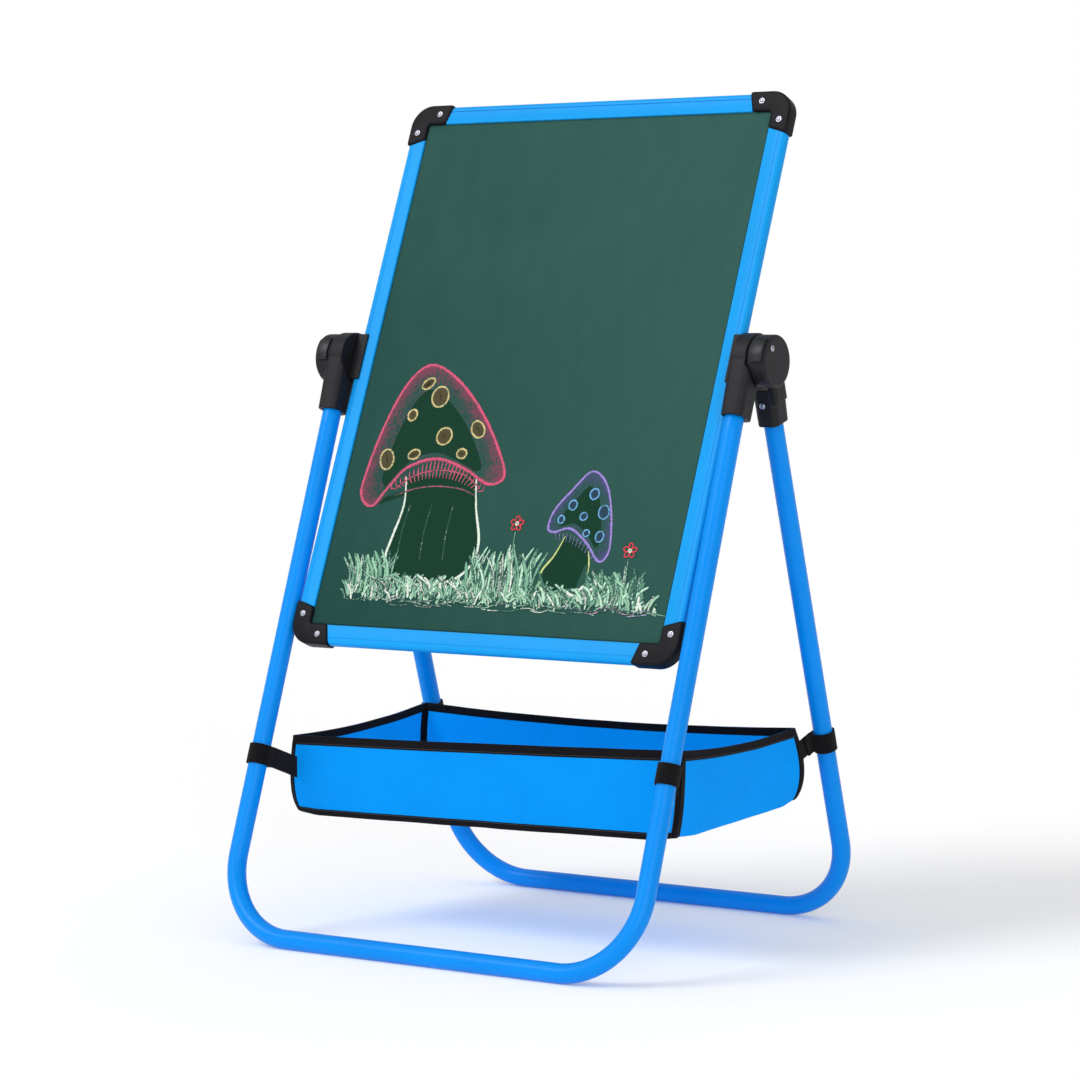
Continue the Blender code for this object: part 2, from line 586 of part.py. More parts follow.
plan = rounded_rect(-BASKET_X, BASKET_X, front, rear, BASKET_ROUND, 3)
bm = loft([[(x, y, floor_at(y)) for x, y in plan], [(x, y, BASKET_RIM) for x, y in plan]])
mouth = [f for f in bm.faces if f.normal.z > 0.9]
bmesh.ops.inset_region(bm, faces=mouth, thickness=BASKET_WALL, use_even_offset=True)
sunk = bmesh.ops.extrude_face_region(bm, geom=mouth)["geom"]
bmesh.ops.delete(bm, geom=mouth, context="FACES")
for vert in [g for g in sunk if isinstance(g, bmesh.types.BMVert)]:
    vert.co.z = floor_at(vert.co.y) + BASKET_WALL
build("basket", bm, (BLUE_CLOTH, 0.8))


# ---------------------------------------------------------------- straps
def strap(name, parent, leg_y, down, way, reach):
    """A loop round a leg, with a tail along the outside of the basket; way is the tail's direction in y."""
    side = -1 if name.endswith("left") else 1
    low, high = -down - STRAP_WIDTH / 2, -down + STRAP_WIDTH / 2
    inner = TUBE_R + STRAP_SLACK
    tail_x0 = BASKET_X + GAP
    start = leg_y + way * (inner + STRAP_T / 2) * 0.4
    loop = build(name, side_of(cylinder("Z", inner + STRAP_T, low, high, (LEG_X, leg_y), sides=28), side),
                 (BLACK_WEB, 0.9), parent)
    tail = block(tail_x0, tail_x0 + STRAP_TAIL_T, *sorted((start, leg_y + way * reach)), low, high)
    combine(loop, [side_of(tail, side)], "UNION")
    combine(loop, [side_of(cylinder("Z", inner, low - 0.01, high + 0.01, (LEG_X, leg_y), sides=28), side)],
            "DIFFERENCE")


for spot_name, height in STRAP_Z.items():
    if spot_name.startswith("front"):
        down = (HINGE_Z - height + FRONT_OFFSET * math.sin(FRONT_ANGLE)) / math.cos(FRONT_ANGLE)
        leg_world = -down * math.sin(FRONT_ANGLE) - FRONT_OFFSET * math.cos(FRONT_ANGLE)
        reach = (BASKET_FRONT + STRAP_LAP - leg_world) / math.cos(FRONT_ANGLE)
        strap("strap_" + spot_name, front_axis, -FRONT_OFFSET, down, 1.0, reach)
    else:
        down = (HINGE_Z - height + REAR_OFFSET * math.sin(REAR_ANGLE)) / math.cos(REAR_ANGLE)
        leg_world = down * math.sin(REAR_ANGLE) + REAR_OFFSET * math.cos(REAR_ANGLE)
        reach = (leg_world - BASKET_REAR + STRAP_LAP) / math.cos(REAR_ANGLE)
        strap("strap_" + spot_name, rear_axis, REAR_OFFSET, down, -1.0, reach)
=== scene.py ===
# %% [markdown]
# # A children's easel, dressed on its CAD frame
# The imported model already holds every tube, rail, hinge and panel in its right place. This lesson gives
# each of them the look of the real object: painted tube, moulded black corners and hinges, a dusty chalk
# board with a drawing on it, a white board behind it, and a cloth basket sewn with black tape.

# %% Load the frame and bake its placement into its meshes
import itertools
import math
import random

import bmesh
import bpy
from mathutils import Matrix, Vector, noise


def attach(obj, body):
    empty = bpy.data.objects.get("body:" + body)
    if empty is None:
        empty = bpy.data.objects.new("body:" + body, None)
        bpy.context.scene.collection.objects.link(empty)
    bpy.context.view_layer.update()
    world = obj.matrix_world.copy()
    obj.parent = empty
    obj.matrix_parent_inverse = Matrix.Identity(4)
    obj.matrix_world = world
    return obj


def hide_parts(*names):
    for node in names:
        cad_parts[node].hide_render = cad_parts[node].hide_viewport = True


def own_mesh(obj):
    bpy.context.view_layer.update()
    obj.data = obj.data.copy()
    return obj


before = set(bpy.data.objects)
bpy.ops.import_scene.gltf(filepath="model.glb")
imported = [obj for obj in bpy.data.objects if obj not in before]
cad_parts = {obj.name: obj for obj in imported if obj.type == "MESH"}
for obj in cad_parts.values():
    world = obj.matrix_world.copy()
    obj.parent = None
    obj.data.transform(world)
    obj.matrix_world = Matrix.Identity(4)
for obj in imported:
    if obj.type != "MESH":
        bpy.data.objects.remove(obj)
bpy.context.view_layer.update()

# %% [markdown]
# ## Where things turn
# Both leg frames and the board hang on one axis that runs from side to side through the two hinge heads.
# A piece is easiest to make upright, with that axis at zero, and is then leant over with its frame. The
# three matrices below do the leaning. All sizes are in metres.

# %% The axis and the three leans
AXIS = Vector((0.0, 0.013574, 0.570))
FRONT_LEAN = math.radians(20.4)
REAR_LEAN = math.radians(17.2)
BOARD_LEAN = math.radians(22.8)
AT_FRONT = Matrix.Translation(AXIS) @ Matrix.Rotation(-FRONT_LEAN, 4, "X")
AT_REAR = Matrix.Translation(AXIS) @ Matrix.Rotation(REAR_LEAN, 4, "X")
AT_BOARD = Matrix.Translation(AXIS) @ Matrix.Rotation(-BOARD_LEAN, 4, "X")
print("front legs run down along", [round(c, 3) for c in AT_FRONT.to_3x3() @ Vector((0, 0, -1))])

# %% [markdown]
# ## Small helpers for shader nodes
# A material is a little network. These helpers make one node in one line, and make a node group, which is
# a network with named inputs and outputs that several materials can share.


# %% Node helpers
def add(tree, kind, inputs=None, **settings):
    """One shader node. Inputs are sockets to link from, or plain values."""
    made = tree.nodes.new("ShaderNode" + kind)
    for name, value in settings.items():
        setattr(made, name, value)
    for name, value in (inputs or {}).items():
        if isinstance(value, bpy.types.NodeSocket):
            tree.links.new(value, made.inputs[name])
        else:
            made.inputs[name].default_value = value
    return made


def group(name, inputs, outputs):
    """An empty node group; returns its tree, its input node and its output node."""
    tree = bpy.data.node_groups.new(name, "ShaderNodeTree")
    for label, kind, value in inputs:
        made = tree.interface.new_socket(label, in_out="INPUT", socket_type="NodeSocket" + kind)
        if value is not None:
            made.default_value = value
    for label, kind in outputs:
        tree.interface.new_socket(label, in_out="OUTPUT", socket_type="NodeSocket" + kind)
    return tree, tree.nodes.new("NodeGroupInput"), tree.nodes.new("NodeGroupOutput")


def use(tree, name, inputs=None):
    """Places a node group in a material, sets its inputs and returns its first output."""
    made = tree.nodes.new("ShaderNodeGroup")
    made.node_tree = bpy.data.node_groups[name]
    for label, value in (inputs or {}).items():
        if isinstance(value, bpy.types.NodeSocket):
            tree.links.new(value, made.inputs[label])
        else:
            made.inputs[label].default_value = value
    return made.outputs[0]


def math_node(tree, operation, a, b=0.0):
    return add(tree, "Math", {0: a, 1: b}, operation=operation).outputs[0]


def times(tree, a, b):
    return math_node(tree, "MULTIPLY", a, b)


def plus(tree, a, b):
    return math_node(tree, "ADD", a, b)


def minus(tree, a, b):
    return math_node(tree, "SUBTRACT", a, b)


def between(tree, value, low, high):
    """A 0 to 1 value turned into one from low to high."""
    return add(tree, "MapRange", {"Value": value, "To Min": low, "To Max": high}).outputs[0]


def narrow(tree, value, low, high, to_low=0.0, to_high=1.0):
    """The part of a value from low to high, spread out to a new range."""
    return add(tree, "MapRange", {"Value": value, "From Min": low, "From Max": high, "To Min": to_low,
                                  "To Max": to_high}).outputs[0]


def clouds(tree, place, scale, detail=2.0, rough=0.5, distort=0.0):
    """Soft noise, mostly from 0.3 to 0.7."""
    return add(tree, "TexNoise", {"Vector": place, "Scale": scale, "Detail": detail, "Roughness": rough,
                                  "Distortion": distort}).outputs["Fac"]


def relief(tree, shader, height, strength, distance):
    """Fine relief on a shader, from a height in metres of `distance`."""
    bump = add(tree, "Bump", {"Strength": strength, "Distance": distance, "Height": height})
    tree.links.new(bump.outputs[0], shader.inputs["Normal"])


def mix_colour(tree, amount, a, b):
    made = add(tree, "Mix", {0: amount, 6: a, 7: b}, data_type="RGBA")
    return made.outputs[2]


def finish(name, rough, metal=0.0):
    """A new material; returns it with its tree and its Principled shader."""
    made = bpy.data.materials.new(name)
    made.use_nodes = True
    shader = made.node_tree.nodes["Principled BSDF"]
    shader.inputs["Roughness"].default_value = rough
    shader.inputs["Metallic"].default_value = metal
    return made, made.node_tree, shader


def object_place(tree):
    return add(tree, "TexCoord").outputs["Object"]


def cloth_place(tree):
    return add(tree, "UVMap", uv_map="cloth").outputs["UV"]


# %% [markdown]
# ## Effects that several finishes share
# - **patchy colour** drifts a colour lighter and darker in soft clouds, as paint, plastic and cloth do.
# - **fine skin** is the tiny relief of powder paint or of a spark-textured mould.
# - **worn edges** finds the sharp edges of a piece, where handling polishes it or thins the paint.
# - **scuffs** are short faint scratches that change the gloss.

# %% Group: patchy colour
tree, given, out = group("patchy colour",
                         [("Colour", "Color", (0.5, 0.5, 0.5, 1.0)), ("Place", "Vector", None),
                          ("Scale", "Float", 12.0), ("Darkest", "Float", 0.9), ("Lightest", "Float", 1.1)],
                         [("Colour", "Color"), ("Cloud", "Float")])
cloud = clouds(tree, given.outputs["Place"], given.outputs["Scale"], 5.0, rough=0.6)
level = narrow(tree, cloud, 0.3, 0.7, given.outputs["Darkest"], given.outputs["Lightest"])
tinted = add(tree, "VectorMath", {0: given.outputs["Colour"], "Scale": level}, operation="SCALE")
tree.links.new(tinted.outputs[0], out.inputs["Colour"])
tree.links.new(cloud, out.inputs["Cloud"])

# %% Group: fine skin
tree, given, out = group("fine skin", [("Place", "Vector", None), ("Scale", "Float", 900.0)],
                         [("Height", "Float")])
place = given.outputs["Place"]
coarse = clouds(tree, place, given.outputs["Scale"])
pebble = add(tree, "TexVoronoi", {"Vector": place, "Scale": given.outputs["Scale"]}, feature="SMOOTH_F1")
height = plus(tree, coarse, times(tree, pebble.outputs[0], 0.5))
tree.links.new(height, out.inputs["Height"])

# %% Group: worn edges
tree, given, out = group("worn edges", [("Place", "Vector", None), ("From", "Float", 0.52),
                                        ("To", "Float", 0.62)], [("Mask", "Float")])
place = given.outputs["Place"]
sharp = add(tree, "NewGeometry").outputs["Pointiness"]
ridge = narrow(tree, sharp, given.outputs["From"], given.outputs["To"])
broken = clouds(tree, place, 160.0, 4.0)
mask = times(tree, ridge, broken)
tree.links.new(mask, out.inputs["Mask"])

# %% Group: scuffs
tree, given, out = group("scuffs", [("Place", "Vector", None), ("Scale", "Float", 30.0)],
                         [("Mask", "Float")])
place = given.outputs["Place"]
stretched = add(tree, "Mapping", {"Vector": place, "Rotation": (0.4, 0.3, 0.5), "Scale": (1.0, 9.0, 2.0)})
lines = clouds(tree, stretched.outputs[0], given.outputs["Scale"], 8.0, rough=0.75)
where = clouds(tree, place, 9.0)
thin = narrow(tree, lines, 0.58, 0.70)
some = narrow(tree, where, 0.45, 0.65)
tree.links.new(times(tree, thin, some), out.inputs["Mask"])
print("shared effects:", [g.name for g in bpy.data.node_groups])

# %% [markdown]
# ## Cloth
# The basket is a plain weave of flat blue threads, and the tapes are a ribbed black webbing. Both are
# drawn from the cloth's own UV map, which is laid out in metres, so threads keep their size and bend with
# the cloth. A thread is a half wave; over-and-under comes from adding the two directions in a checker.

# %% Group: weave
tree, given, out = group("weave", [("Place", "Vector", None), ("Warp pitch", "Float", 0.0011),
                                   ("Weft pitch", "Float", 0.0011)],
                         [("Height", "Float"), ("Thread", "Float")])
place = given.outputs["Place"]
split = add(tree, "SeparateXYZ", {0: place})
wobble = clouds(tree, place, 140.0)
shake = times(tree, wobble, 0.5)
waves = []
for axis, pitch in (("X", "Warp pitch"), ("Y", "Weft pitch")):
    count = plus(tree, math_node(tree, "DIVIDE", split.outputs[axis], given.outputs[pitch]), shake)
    wave = math_node(tree, "SINE", times(tree, count, math.pi))
    waves.append((wave, math_node(tree, "ABSOLUTE", wave)))
over = times(tree, waves[0][0], waves[1][0])
checker = narrow(tree, over, -0.35, 0.35)
height = add(tree, "Mix", {0: checker, 2: waves[0][1], 3: waves[1][1]}, data_type="FLOAT")
tree.links.new(height.outputs[0], out.inputs["Height"])
tree.links.new(checker, out.inputs["Thread"])

# %% Group: chalk grain
# Chalk sticks to the high spots of the board, so a stroke is broken up by fine noise, and is thinner at
# its sides.
tree, given, out = group("chalk grain", [("Place", "Vector", None), ("Press", "Float", 0.5)],
                         [("Cover", "Float")])
place = given.outputs["Place"]
tooth = clouds(tree, place, 520.0, 3.0, rough=0.7)
drag = clouds(tree, place, 90.0)
both = plus(tree, times(tree, tooth, 0.75), times(tree, drag, 0.25))
keep = plus(tree, both, minus(tree, given.outputs["Press"], 0.5))
cover = narrow(tree, keep, 0.42, 0.62)
tree.links.new(cover, out.inputs["Cover"])

# %% Group: chalk board colour
# A used board is never one green: wiped chalk leaves broad pale clouds and fine arcs of the cloth. On top of
# that the green is painted lighter towards the upper right, a painted reflection of the lamps. The board and
# the drawing on it share this group, so the green between two chalk grains is the same.
tree, given, out = group("chalk board colour", [("Place", "Vector", None)], [("Colour", "Color")])
place = given.outputs["Place"]
sides = add(tree, "SeparateXYZ", {0: place})
# Painted reflection: across, upward and slope make the green lighter towards the right and the top, where
# the lamps' reflection falls.
across = narrow(tree, sides.outputs["X"], -0.22, 0.22)
upward = narrow(tree, sides.outputs["Z"], 0.30, 0.82)
slope = times(tree, plus(tree, across, upward), 0.55)
wiped = clouds(tree, place, 5.0, 4.0, distort=0.8)
arcs = add(tree, "TexWave", {"Vector": place, "Scale": 7.0, "Distortion": 9.0, "Detail": 4.0,
                             "Detail Scale": 2.0})
haze = plus(tree, times(tree, wiped, 0.55), times(tree, arcs.outputs["Fac"], 0.07))
amount = plus(tree, math_node(tree, "POWER", slope, 0.7), minus(tree, haze, 0.34))
green = mix_colour(tree, amount, (0.0070, 0.0480, 0.0400, 1.0), (0.0260, 0.0900, 0.0750, 1.0))
dust = clouds(tree, place, 700.0)
speck = narrow(tree, dust, 0.62, 0.80, 0.0, 0.10)
green = mix_colour(tree, speck, green, (0.30, 0.38, 0.35, 1.0))
tree.links.new(green, out.inputs["Colour"])

# %% [markdown]
# ## The finishes
# Each finish is one Principled shader, fed by the groups above. The painted steel is glossy with a faint
# orange-peel; the plastics are black but never quite black, and shine a little where they are rubbed.


# %% Painted metal
def painted_metal(name, colour, rough, along=None):
    made, tree, shader = finish(name, rough)
    place = object_place(tree)
    patch = use(tree, "patchy colour", {"Colour": colour, "Place": place, "Scale": 9.0, "Darkest": 0.94,
                                        "Lightest": 1.05})
    worn = use(tree, "worn edges", {"Place": place, "From": 0.56, "To": 0.70})
    pale = mix_colour(tree, times(tree, worn, 0.35), patch,
                      (0.10, 0.45, 0.85, 1.0))
    tree.links.new(pale, shader.inputs["Base Color"])
    marks = use(tree, "scuffs", {"Place": place, "Scale": 26.0})
    tree.links.new(between(tree, marks, rough, rough + 0.18), shader.inputs["Roughness"])
    skin = use(tree, "fine skin", {"Place": place, "Scale": 620.0})
    height = skin
    if along:
        drawn = add(tree, "Mapping", {"Vector": place, "Scale": along})
        streak = clouds(tree, drawn.outputs[0], 1.0, 3.0)
        height = plus(tree, times(tree, height, 0.35), streak)
    relief(tree, shader, height, 0.10, 0.0004)
    shader.inputs["Specular IOR Level"].default_value = 0.11
    shader.inputs["Coat Weight"].default_value = 0.02
    shader.inputs["Coat Roughness"].default_value = 0.15
    return made


TUBE_PAINT = painted_metal("tube paint", (0.0005, 0.245, 0.780, 1.0), 0.30)
RAIL_PAINT = painted_metal("rail paint across", (0.0005, 0.300, 0.760, 1.0), 0.42, (12.0, 900.0, 900.0))
RAIL_PAINT_UP = painted_metal("rail paint up", (0.0005, 0.300, 0.760, 1.0), 0.42, (900.0, 300.0, 14.0))


# %% Moulded plastic
def moulded(name, colour, rough, skin_scale, depth, gleam):
    made, tree, shader = finish(name, rough)
    place = object_place(tree)
    patch = use(tree, "patchy colour", {"Colour": colour, "Place": place, "Scale": 40.0, "Darkest": 0.8,
                                        "Lightest": 1.25})
    worn = use(tree, "worn edges", {"Place": place, "From": 0.54, "To": 0.68})
    rubbed = mix_colour(tree, times(tree, worn, 0.55), patch,
                        (0.040, 0.040, 0.046, 1.0))
    tree.links.new(rubbed, shader.inputs["Base Color"])
    marks = use(tree, "scuffs", {"Place": place, "Scale": 60.0})
    tree.links.new(between(tree, marks, rough, rough - 0.12), shader.inputs["Roughness"])
    skin = use(tree, "fine skin", {"Place": place, "Scale": skin_scale})
    relief(tree, shader, skin, depth, 0.0004)
    shader.inputs["Specular IOR Level"].default_value = gleam
    return made


CAP_PLASTIC = moulded("corner plastic", (0.0050, 0.0048, 0.0066, 1.0), 0.44, 1500.0, 0.35, 0.12)
HINGE_PLASTIC = moulded("hinge plastic", (0.0080, 0.0076, 0.0105, 1.0), 0.50, 1300.0, 0.45, 0.24)
BUTTON_PLASTIC = moulded("button plastic", (0.0110, 0.0105, 0.0140, 1.0), 0.36, 1900.0, 0.20, 0.32)


# %% Bright steel
def bright_steel(name, colour, rough):
    made, tree, shader = finish(name, rough, 1.0)
    place = object_place(tree)
    patch = use(tree, "patchy colour", {"Colour": colour, "Place": place, "Scale": 300.0, "Darkest": 0.85,
                                        "Lightest": 1.05})
    tree.links.new(patch, shader.inputs["Base Color"])
    turned = use(tree, "scuffs", {"Place": place, "Scale": 420.0})
    tree.links.new(between(tree, turned, rough, rough + 0.2), shader.inputs["Roughness"])
    relief(tree, shader, turned, 0.15, 0.0002)
    return made


STEEL = bright_steel("zinc plated steel", (0.42, 0.42, 0.50, 1.0), 0.36)

# %% The two writing faces and the board between them
CHALK_FACE, tree, shader = finish("chalk board face", 0.72)
place = object_place(tree)
tree.links.new(use(tree, "chalk board colour", {"Place": place}), shader.inputs["Base Color"])
tooth = clouds(tree, place, 900.0, 3.0)
relief(tree, shader, tooth, 0.25, 0.0003)
rub = clouds(tree, place, 6.0, 3.0)
tree.links.new(between(tree, rub, 0.62, 0.84), shader.inputs["Roughness"])
shader.inputs["Specular IOR Level"].default_value = 0.12

WHITE_FACE, tree, shader = finish("white enamel face", 0.14)
place = object_place(tree)
patch = use(tree, "patchy colour", {"Colour": (0.82, 0.83, 0.83, 1.0), "Place": place, "Scale": 5.0,
                                    "Darkest": 0.985, "Lightest": 1.01})
ghost = use(tree, "scuffs", {"Place": place, "Scale": 8.0})
ghosted = mix_colour(tree, times(tree, ghost, 0.16), patch,
                     (0.55, 0.60, 0.68, 1.0))
tree.links.new(ghosted, shader.inputs["Base Color"])
wipes = add(tree, "TexWave", {"Vector": place, "Scale": 5.0, "Distortion": 11.0, "Detail": 4.0})
tree.links.new(between(tree, wipes.outputs["Fac"], 0.11, 0.26), shader.inputs["Roughness"])
skin = use(tree, "fine skin", {"Place": place, "Scale": 260.0})
relief(tree, shader, skin, 0.04, 0.0003)

CORE, tree, shader = finish("fibre board core", 0.9)
place = object_place(tree)
fibres = clouds(tree, place, 420.0, 6.0, distort=0.5)
brown = mix_colour(tree, fibres, (0.22, 0.14, 0.08, 1.0), (0.46, 0.34, 0.22, 1.0))
tree.links.new(brown, shader.inputs["Base Color"])
relief(tree, shader, fibres, 0.4, 0.0004)


# %% Cloth, tape, webbing and thread
def woven(name, colour, warp, weft, depth, rough, sheen):
    made, tree, shader = finish(name, rough)
    place = cloth_place(tree)
    threads = use(tree, "weave", {"Place": place, "Warp pitch": warp, "Weft pitch": weft})
    patch = use(tree, "patchy colour", {"Colour": colour, "Place": object_place(tree), "Scale": 14.0,
                                        "Darkest": 0.88, "Lightest": 1.08})
    # Painted shade: the colour drops to 62 % where the weave's height is low, between the threads.
    deep = add(tree, "VectorMath", {0: patch, "Scale": 0.62}, operation="SCALE")
    shade = narrow(tree, threads, 0.1, 0.8)
    cloth = mix_colour(tree, shade, deep.outputs[0], patch)
    tree.links.new(cloth, shader.inputs["Base Color"])
    fuzz = clouds(tree, object_place(tree), 800.0)
    relief(tree, shader, plus(tree, threads, times(tree, fuzz, 0.25)), depth, 0.0005)
    shader.inputs["Sheen Weight"].default_value = sheen
    shader.inputs["Sheen Roughness"].default_value = 0.5
    shader.inputs["Specular IOR Level"].default_value = 0.05
    return made


BASKET_CLOTH = woven("basket cloth", (0.0003, 0.190, 0.580, 1.0), 0.0011, 0.0011, 0.50, 0.80, 0.01)
# Painted light: the cloth glows with a blue emission so its shaded inside looks nearly as bright as its lit
# front. Its base colour above is set darker to make up for that glow.
cloth_glow_inputs = BASKET_CLOTH.node_tree.nodes["Principled BSDF"].inputs
cloth_glow_inputs["Emission Color"].default_value = (0.0003, 0.315, 0.950, 1.0)
cloth_glow_inputs["Emission Strength"].default_value = 0.42
BINDING = woven("binding tape", (0.0065, 0.0062, 0.0085, 1.0), 0.0008, 0.0022, 0.7, 0.82, 0.04)
WEBBING = woven("strap webbing", (0.0080, 0.0068, 0.0080, 1.0), 0.0016, 0.0026, 0.9, 0.80, 0.05)
THREAD, tree, shader = finish("sewing thread", 0.65)
twist = clouds(tree, object_place(tree), 2200.0)
grey = mix_colour(tree, twist, (0.012, 0.012, 0.014, 1.0), (0.040, 0.040, 0.046, 1.0))
tree.links.new(grey, shader.inputs["Base Color"])
relief(tree, shader, twist, 0.5, 0.0002)
print("finishes:", len(bpy.data.materials))

# %% [markdown]
# ## Helpers for making pieces
# `carried` turns a bmesh into a named object, points its faces outward, gives it a finish, hangs it on the
# body that carries it and hides the CAD part it stands for. `boolean` cuts or joins with other bmeshes and
# keeps the result. `grow` extrudes a row of edges, and `push` moves faces in or out with walls behind them.


# %% Piece helpers
def carried(name, bm, look, body, nodes=(), smooth=40.0, place=None, fix=True):
    """The finished object for a bmesh made upright, leant into place by the matrix `place`."""
    if place is not None:
        bmesh.ops.transform(bm, matrix=place, verts=bm.verts[:])
    if fix:
        bmesh.ops.recalc_face_normals(bm, faces=bm.faces[:])
    mesh = bpy.data.meshes.new(name)
    bm.to_mesh(mesh)
    bm.free()
    mesh.shade_smooth()
    mesh.set_sharp_from_angle(angle=math.radians(smooth))
    made = new_object(name, mesh)
    mesh.materials.append(look)
    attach(made, body)
    if nodes:
        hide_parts(*nodes)
    return made


def new_object(name, data):
    made = bpy.data.objects.new(name, data)
    bpy.context.collection.objects.link(made)
    return made


def keep_result(made):
    """Applies every modifier, so that the mesh holds the final shape."""
    bpy.context.view_layer.update()
    ready = made.evaluated_get(bpy.context.evaluated_depsgraph_get())
    done = bpy.data.meshes.new_from_object(ready)
    made.modifiers.clear()
    old = made.data
    name = old.name
    made.data = done
    bpy.data.meshes.remove(old)
    done.name = name
    return made


def placed(made, place):
    """Moves a cut mesh into place, turns it right side out if that mirrored it, and shades it."""
    made.data.transform(place)
    if place.to_3x3().determinant() < 0:
        made.data.flip_normals()
    made.data.shade_smooth()
    made.data.set_sharp_from_angle(angle=math.radians(35))
    return made


def boolean(made, tools, operation):
    for bm in tools:
        bmesh.ops.recalc_face_normals(bm, faces=bm.faces[:])
        mesh = bpy.data.meshes.new("tool")
        bm.to_mesh(mesh)
        bm.free()
        tool = new_object("tool", mesh)
        mod = made.modifiers.new("boolean", "BOOLEAN")
        mod.operation, mod.solver, mod.object = operation, "EXACT", tool
        keep_result(made)
        bpy.data.objects.remove(tool, do_unlink=True)
    return made


def block(x, y, z):
    """A box from three pairs of limits."""
    bm = bmesh.new()
    size = Matrix.Diagonal((x[1] - x[0], y[1] - y[0], z[1] - z[0], 1.0))
    middle = Matrix.Translation((sum(x) / 2, sum(y) / 2, sum(z) / 2))
    bmesh.ops.create_cube(bm, size=1.0, matrix=middle @ size)
    return bm


def rod(radius, x, at=(0.0, 0.0), sides=64):
    """A cylinder along X, centred on (y, z)."""
    bm = bmesh.new()
    turn = Matrix.Translation((sum(x) / 2, *at)) @ Matrix.Rotation(math.pi / 2, 4, "Y")
    bmesh.ops.create_cone(bm, cap_ends=True, segments=sides, radius1=radius, radius2=radius,
                          depth=x[1] - x[0], matrix=turn)
    return bm


def soften(bm, edges, size, steps):
    bmesh.ops.bevel(bm, geom=edges, offset=size, segments=steps, affect="EDGES", profile=0.5, material=-1)
    return bm


def grow(bm, edges, move=(0, 0, 0)):
    """Extrudes edges by a move; returns the new edges that lie at the far side."""
    grown = bmesh.ops.extrude_edge_only(bm, edges=edges)["geom"]
    verts = {g for g in grown if isinstance(g, bmesh.types.BMVert)}
    bmesh.ops.translate(bm, verts=list(verts), vec=move)
    return [g for g in grown if isinstance(g, bmesh.types.BMEdge) and set(g.verts) <= verts]


def push(bm, faces, move):
    """Moves faces and leaves walls behind them."""
    pushed = bmesh.ops.extrude_face_region(bm, geom=faces)["geom"]
    bmesh.ops.delete(bm, geom=faces, context="FACES")
    bmesh.ops.translate(bm, vec=move, verts=[g for g in pushed if isinstance(g, bmesh.types.BMVert)])


def edges_along(bm, axis, test=lambda middle: True):
    """The edges that run along one axis and whose middle passes the test."""
    found = []
    for edge in bm.edges:
        a, b = (v.co for v in edge.verts)
        run = b - a
        if abs(run[axis]) > 0.999 * run.length and test((a + b) / 2):
            found.append(edge)
    return found


FLIP = Matrix.Diagonal((-1.0, 1.0, 1.0, 1.0))


def mirrored(bm, side):
    if side < 0:
        bmesh.ops.transform(bm, matrix=FLIP, verts=bm.verts[:])
        bmesh.ops.reverse_faces(bm, faces=bm.faces[:])
    return bm


# %% [markdown]
# ## The two bent tubes
# Each leg frame is one steel tube: down a side, round a bend, along the floor and up again. A circle of
# edges is extruded for the straight lengths and spun for the bends, exactly as a bender works, and a
# Solidify modifier gives the wall.

# %% Tubes
TUBE_R = 0.0095
LEG_X = 0.2388
BEND_R = 0.080
FRONT_LEG_Y, REAR_LEG_Y = -0.0128, 0.0205       # leg middles, seen from the axis


def bent_tube(name, node, body, place, y, top, bottom):
    bm = bmesh.new()
    bmesh.ops.create_circle(bm, cap_ends=False, radius=TUBE_R, segments=48,
                            matrix=Matrix.Translation((-LEG_X, y, -top)))
    ring = bm.edges[:]

    def straight(edges, move, steps):
        for _ in range(steps):
            edges = grow(bm, edges, Vector(move) / steps)
        return edges

    def bend(edges, centre):
        turned = bmesh.ops.spin(bm, geom=edges, cent=centre, axis=(0, 1, 0), dvec=(0, 0, 0),
                                angle=-math.pi / 2, steps=28, use_duplicate=False)
        return [g for g in turned["geom_last"] if isinstance(g, bmesh.types.BMEdge)]

    leg = bottom - BEND_R - top
    ring = straight(ring, (0, 0, -leg), 12)
    ring = bend(ring, (-LEG_X + BEND_R, y, -bottom + BEND_R))
    ring = straight(ring, (2 * (LEG_X - BEND_R), 0, 0), 8)
    ring = bend(ring, (LEG_X - BEND_R, y, -bottom + BEND_R))
    straight(ring, (0, 0, leg), 12)
    bmesh.ops.recalc_face_normals(bm, faces=bm.faces[:])
    first = min(bm.faces, key=lambda f: f.calc_center_median().x)
    if first.normal.x > 0:
        bmesh.ops.reverse_faces(bm, faces=bm.faces[:])
    made = carried(name, bm, TUBE_PAINT, body, (node,), place=place, fix=False)
    wall = made.modifiers.new("wall", "SOLIDIFY")
    wall.thickness, wall.offset, wall.use_rim = 0.0012, -1.0, True
    return keep_result(made)


FRONT_LEN, REAR_LEN = 0.60289, 0.59321          # from the axis down to the middle of the foot
front_tube = bent_tube("front_leg_tube", "front_tube", "front_frame", AT_FRONT, FRONT_LEG_Y, 0.036,
                       FRONT_LEN)
rear_tube = bent_tube("rear_leg_tube", "rear_tube", "rear_frame", AT_REAR, REAR_LEG_Y, 0.038, REAR_LEN)
print("tube faces:", len(front_tube.data.polygons), len(rear_tube.data.polygons))

# %% [markdown]
# ## The frame round the board
# Four lengths of one painted extrusion: a rounded outer edge, a flat face with a narrow groove near the
# outside, and a slot that grips the panels. Each is a box whose edges are bevelled and whose faces are
# cut with bisect_plane and pushed in; the ends are then sheared to meet the slanted ends of the caps.

# %% Rails
BOARD_W, BOARD_H = 0.453, 0.587
UP, DOWN = 0.280, 0.307
RAIL_W, RAIL_T = 0.020, 0.012
SLOT_DEPTH, SLOT_HALF = 0.006, 0.0036
CAP_LEG_X, CAP_LEG_Z, CAP_CUT = 0.048, 0.044, 0.006


def slice_at(bm, point, normal):
    bmesh.ops.bisect_plane(bm, geom=bm.verts[:] + bm.edges[:] + bm.faces[:], dist=1e-7, plane_co=point,
                           plane_no=normal)


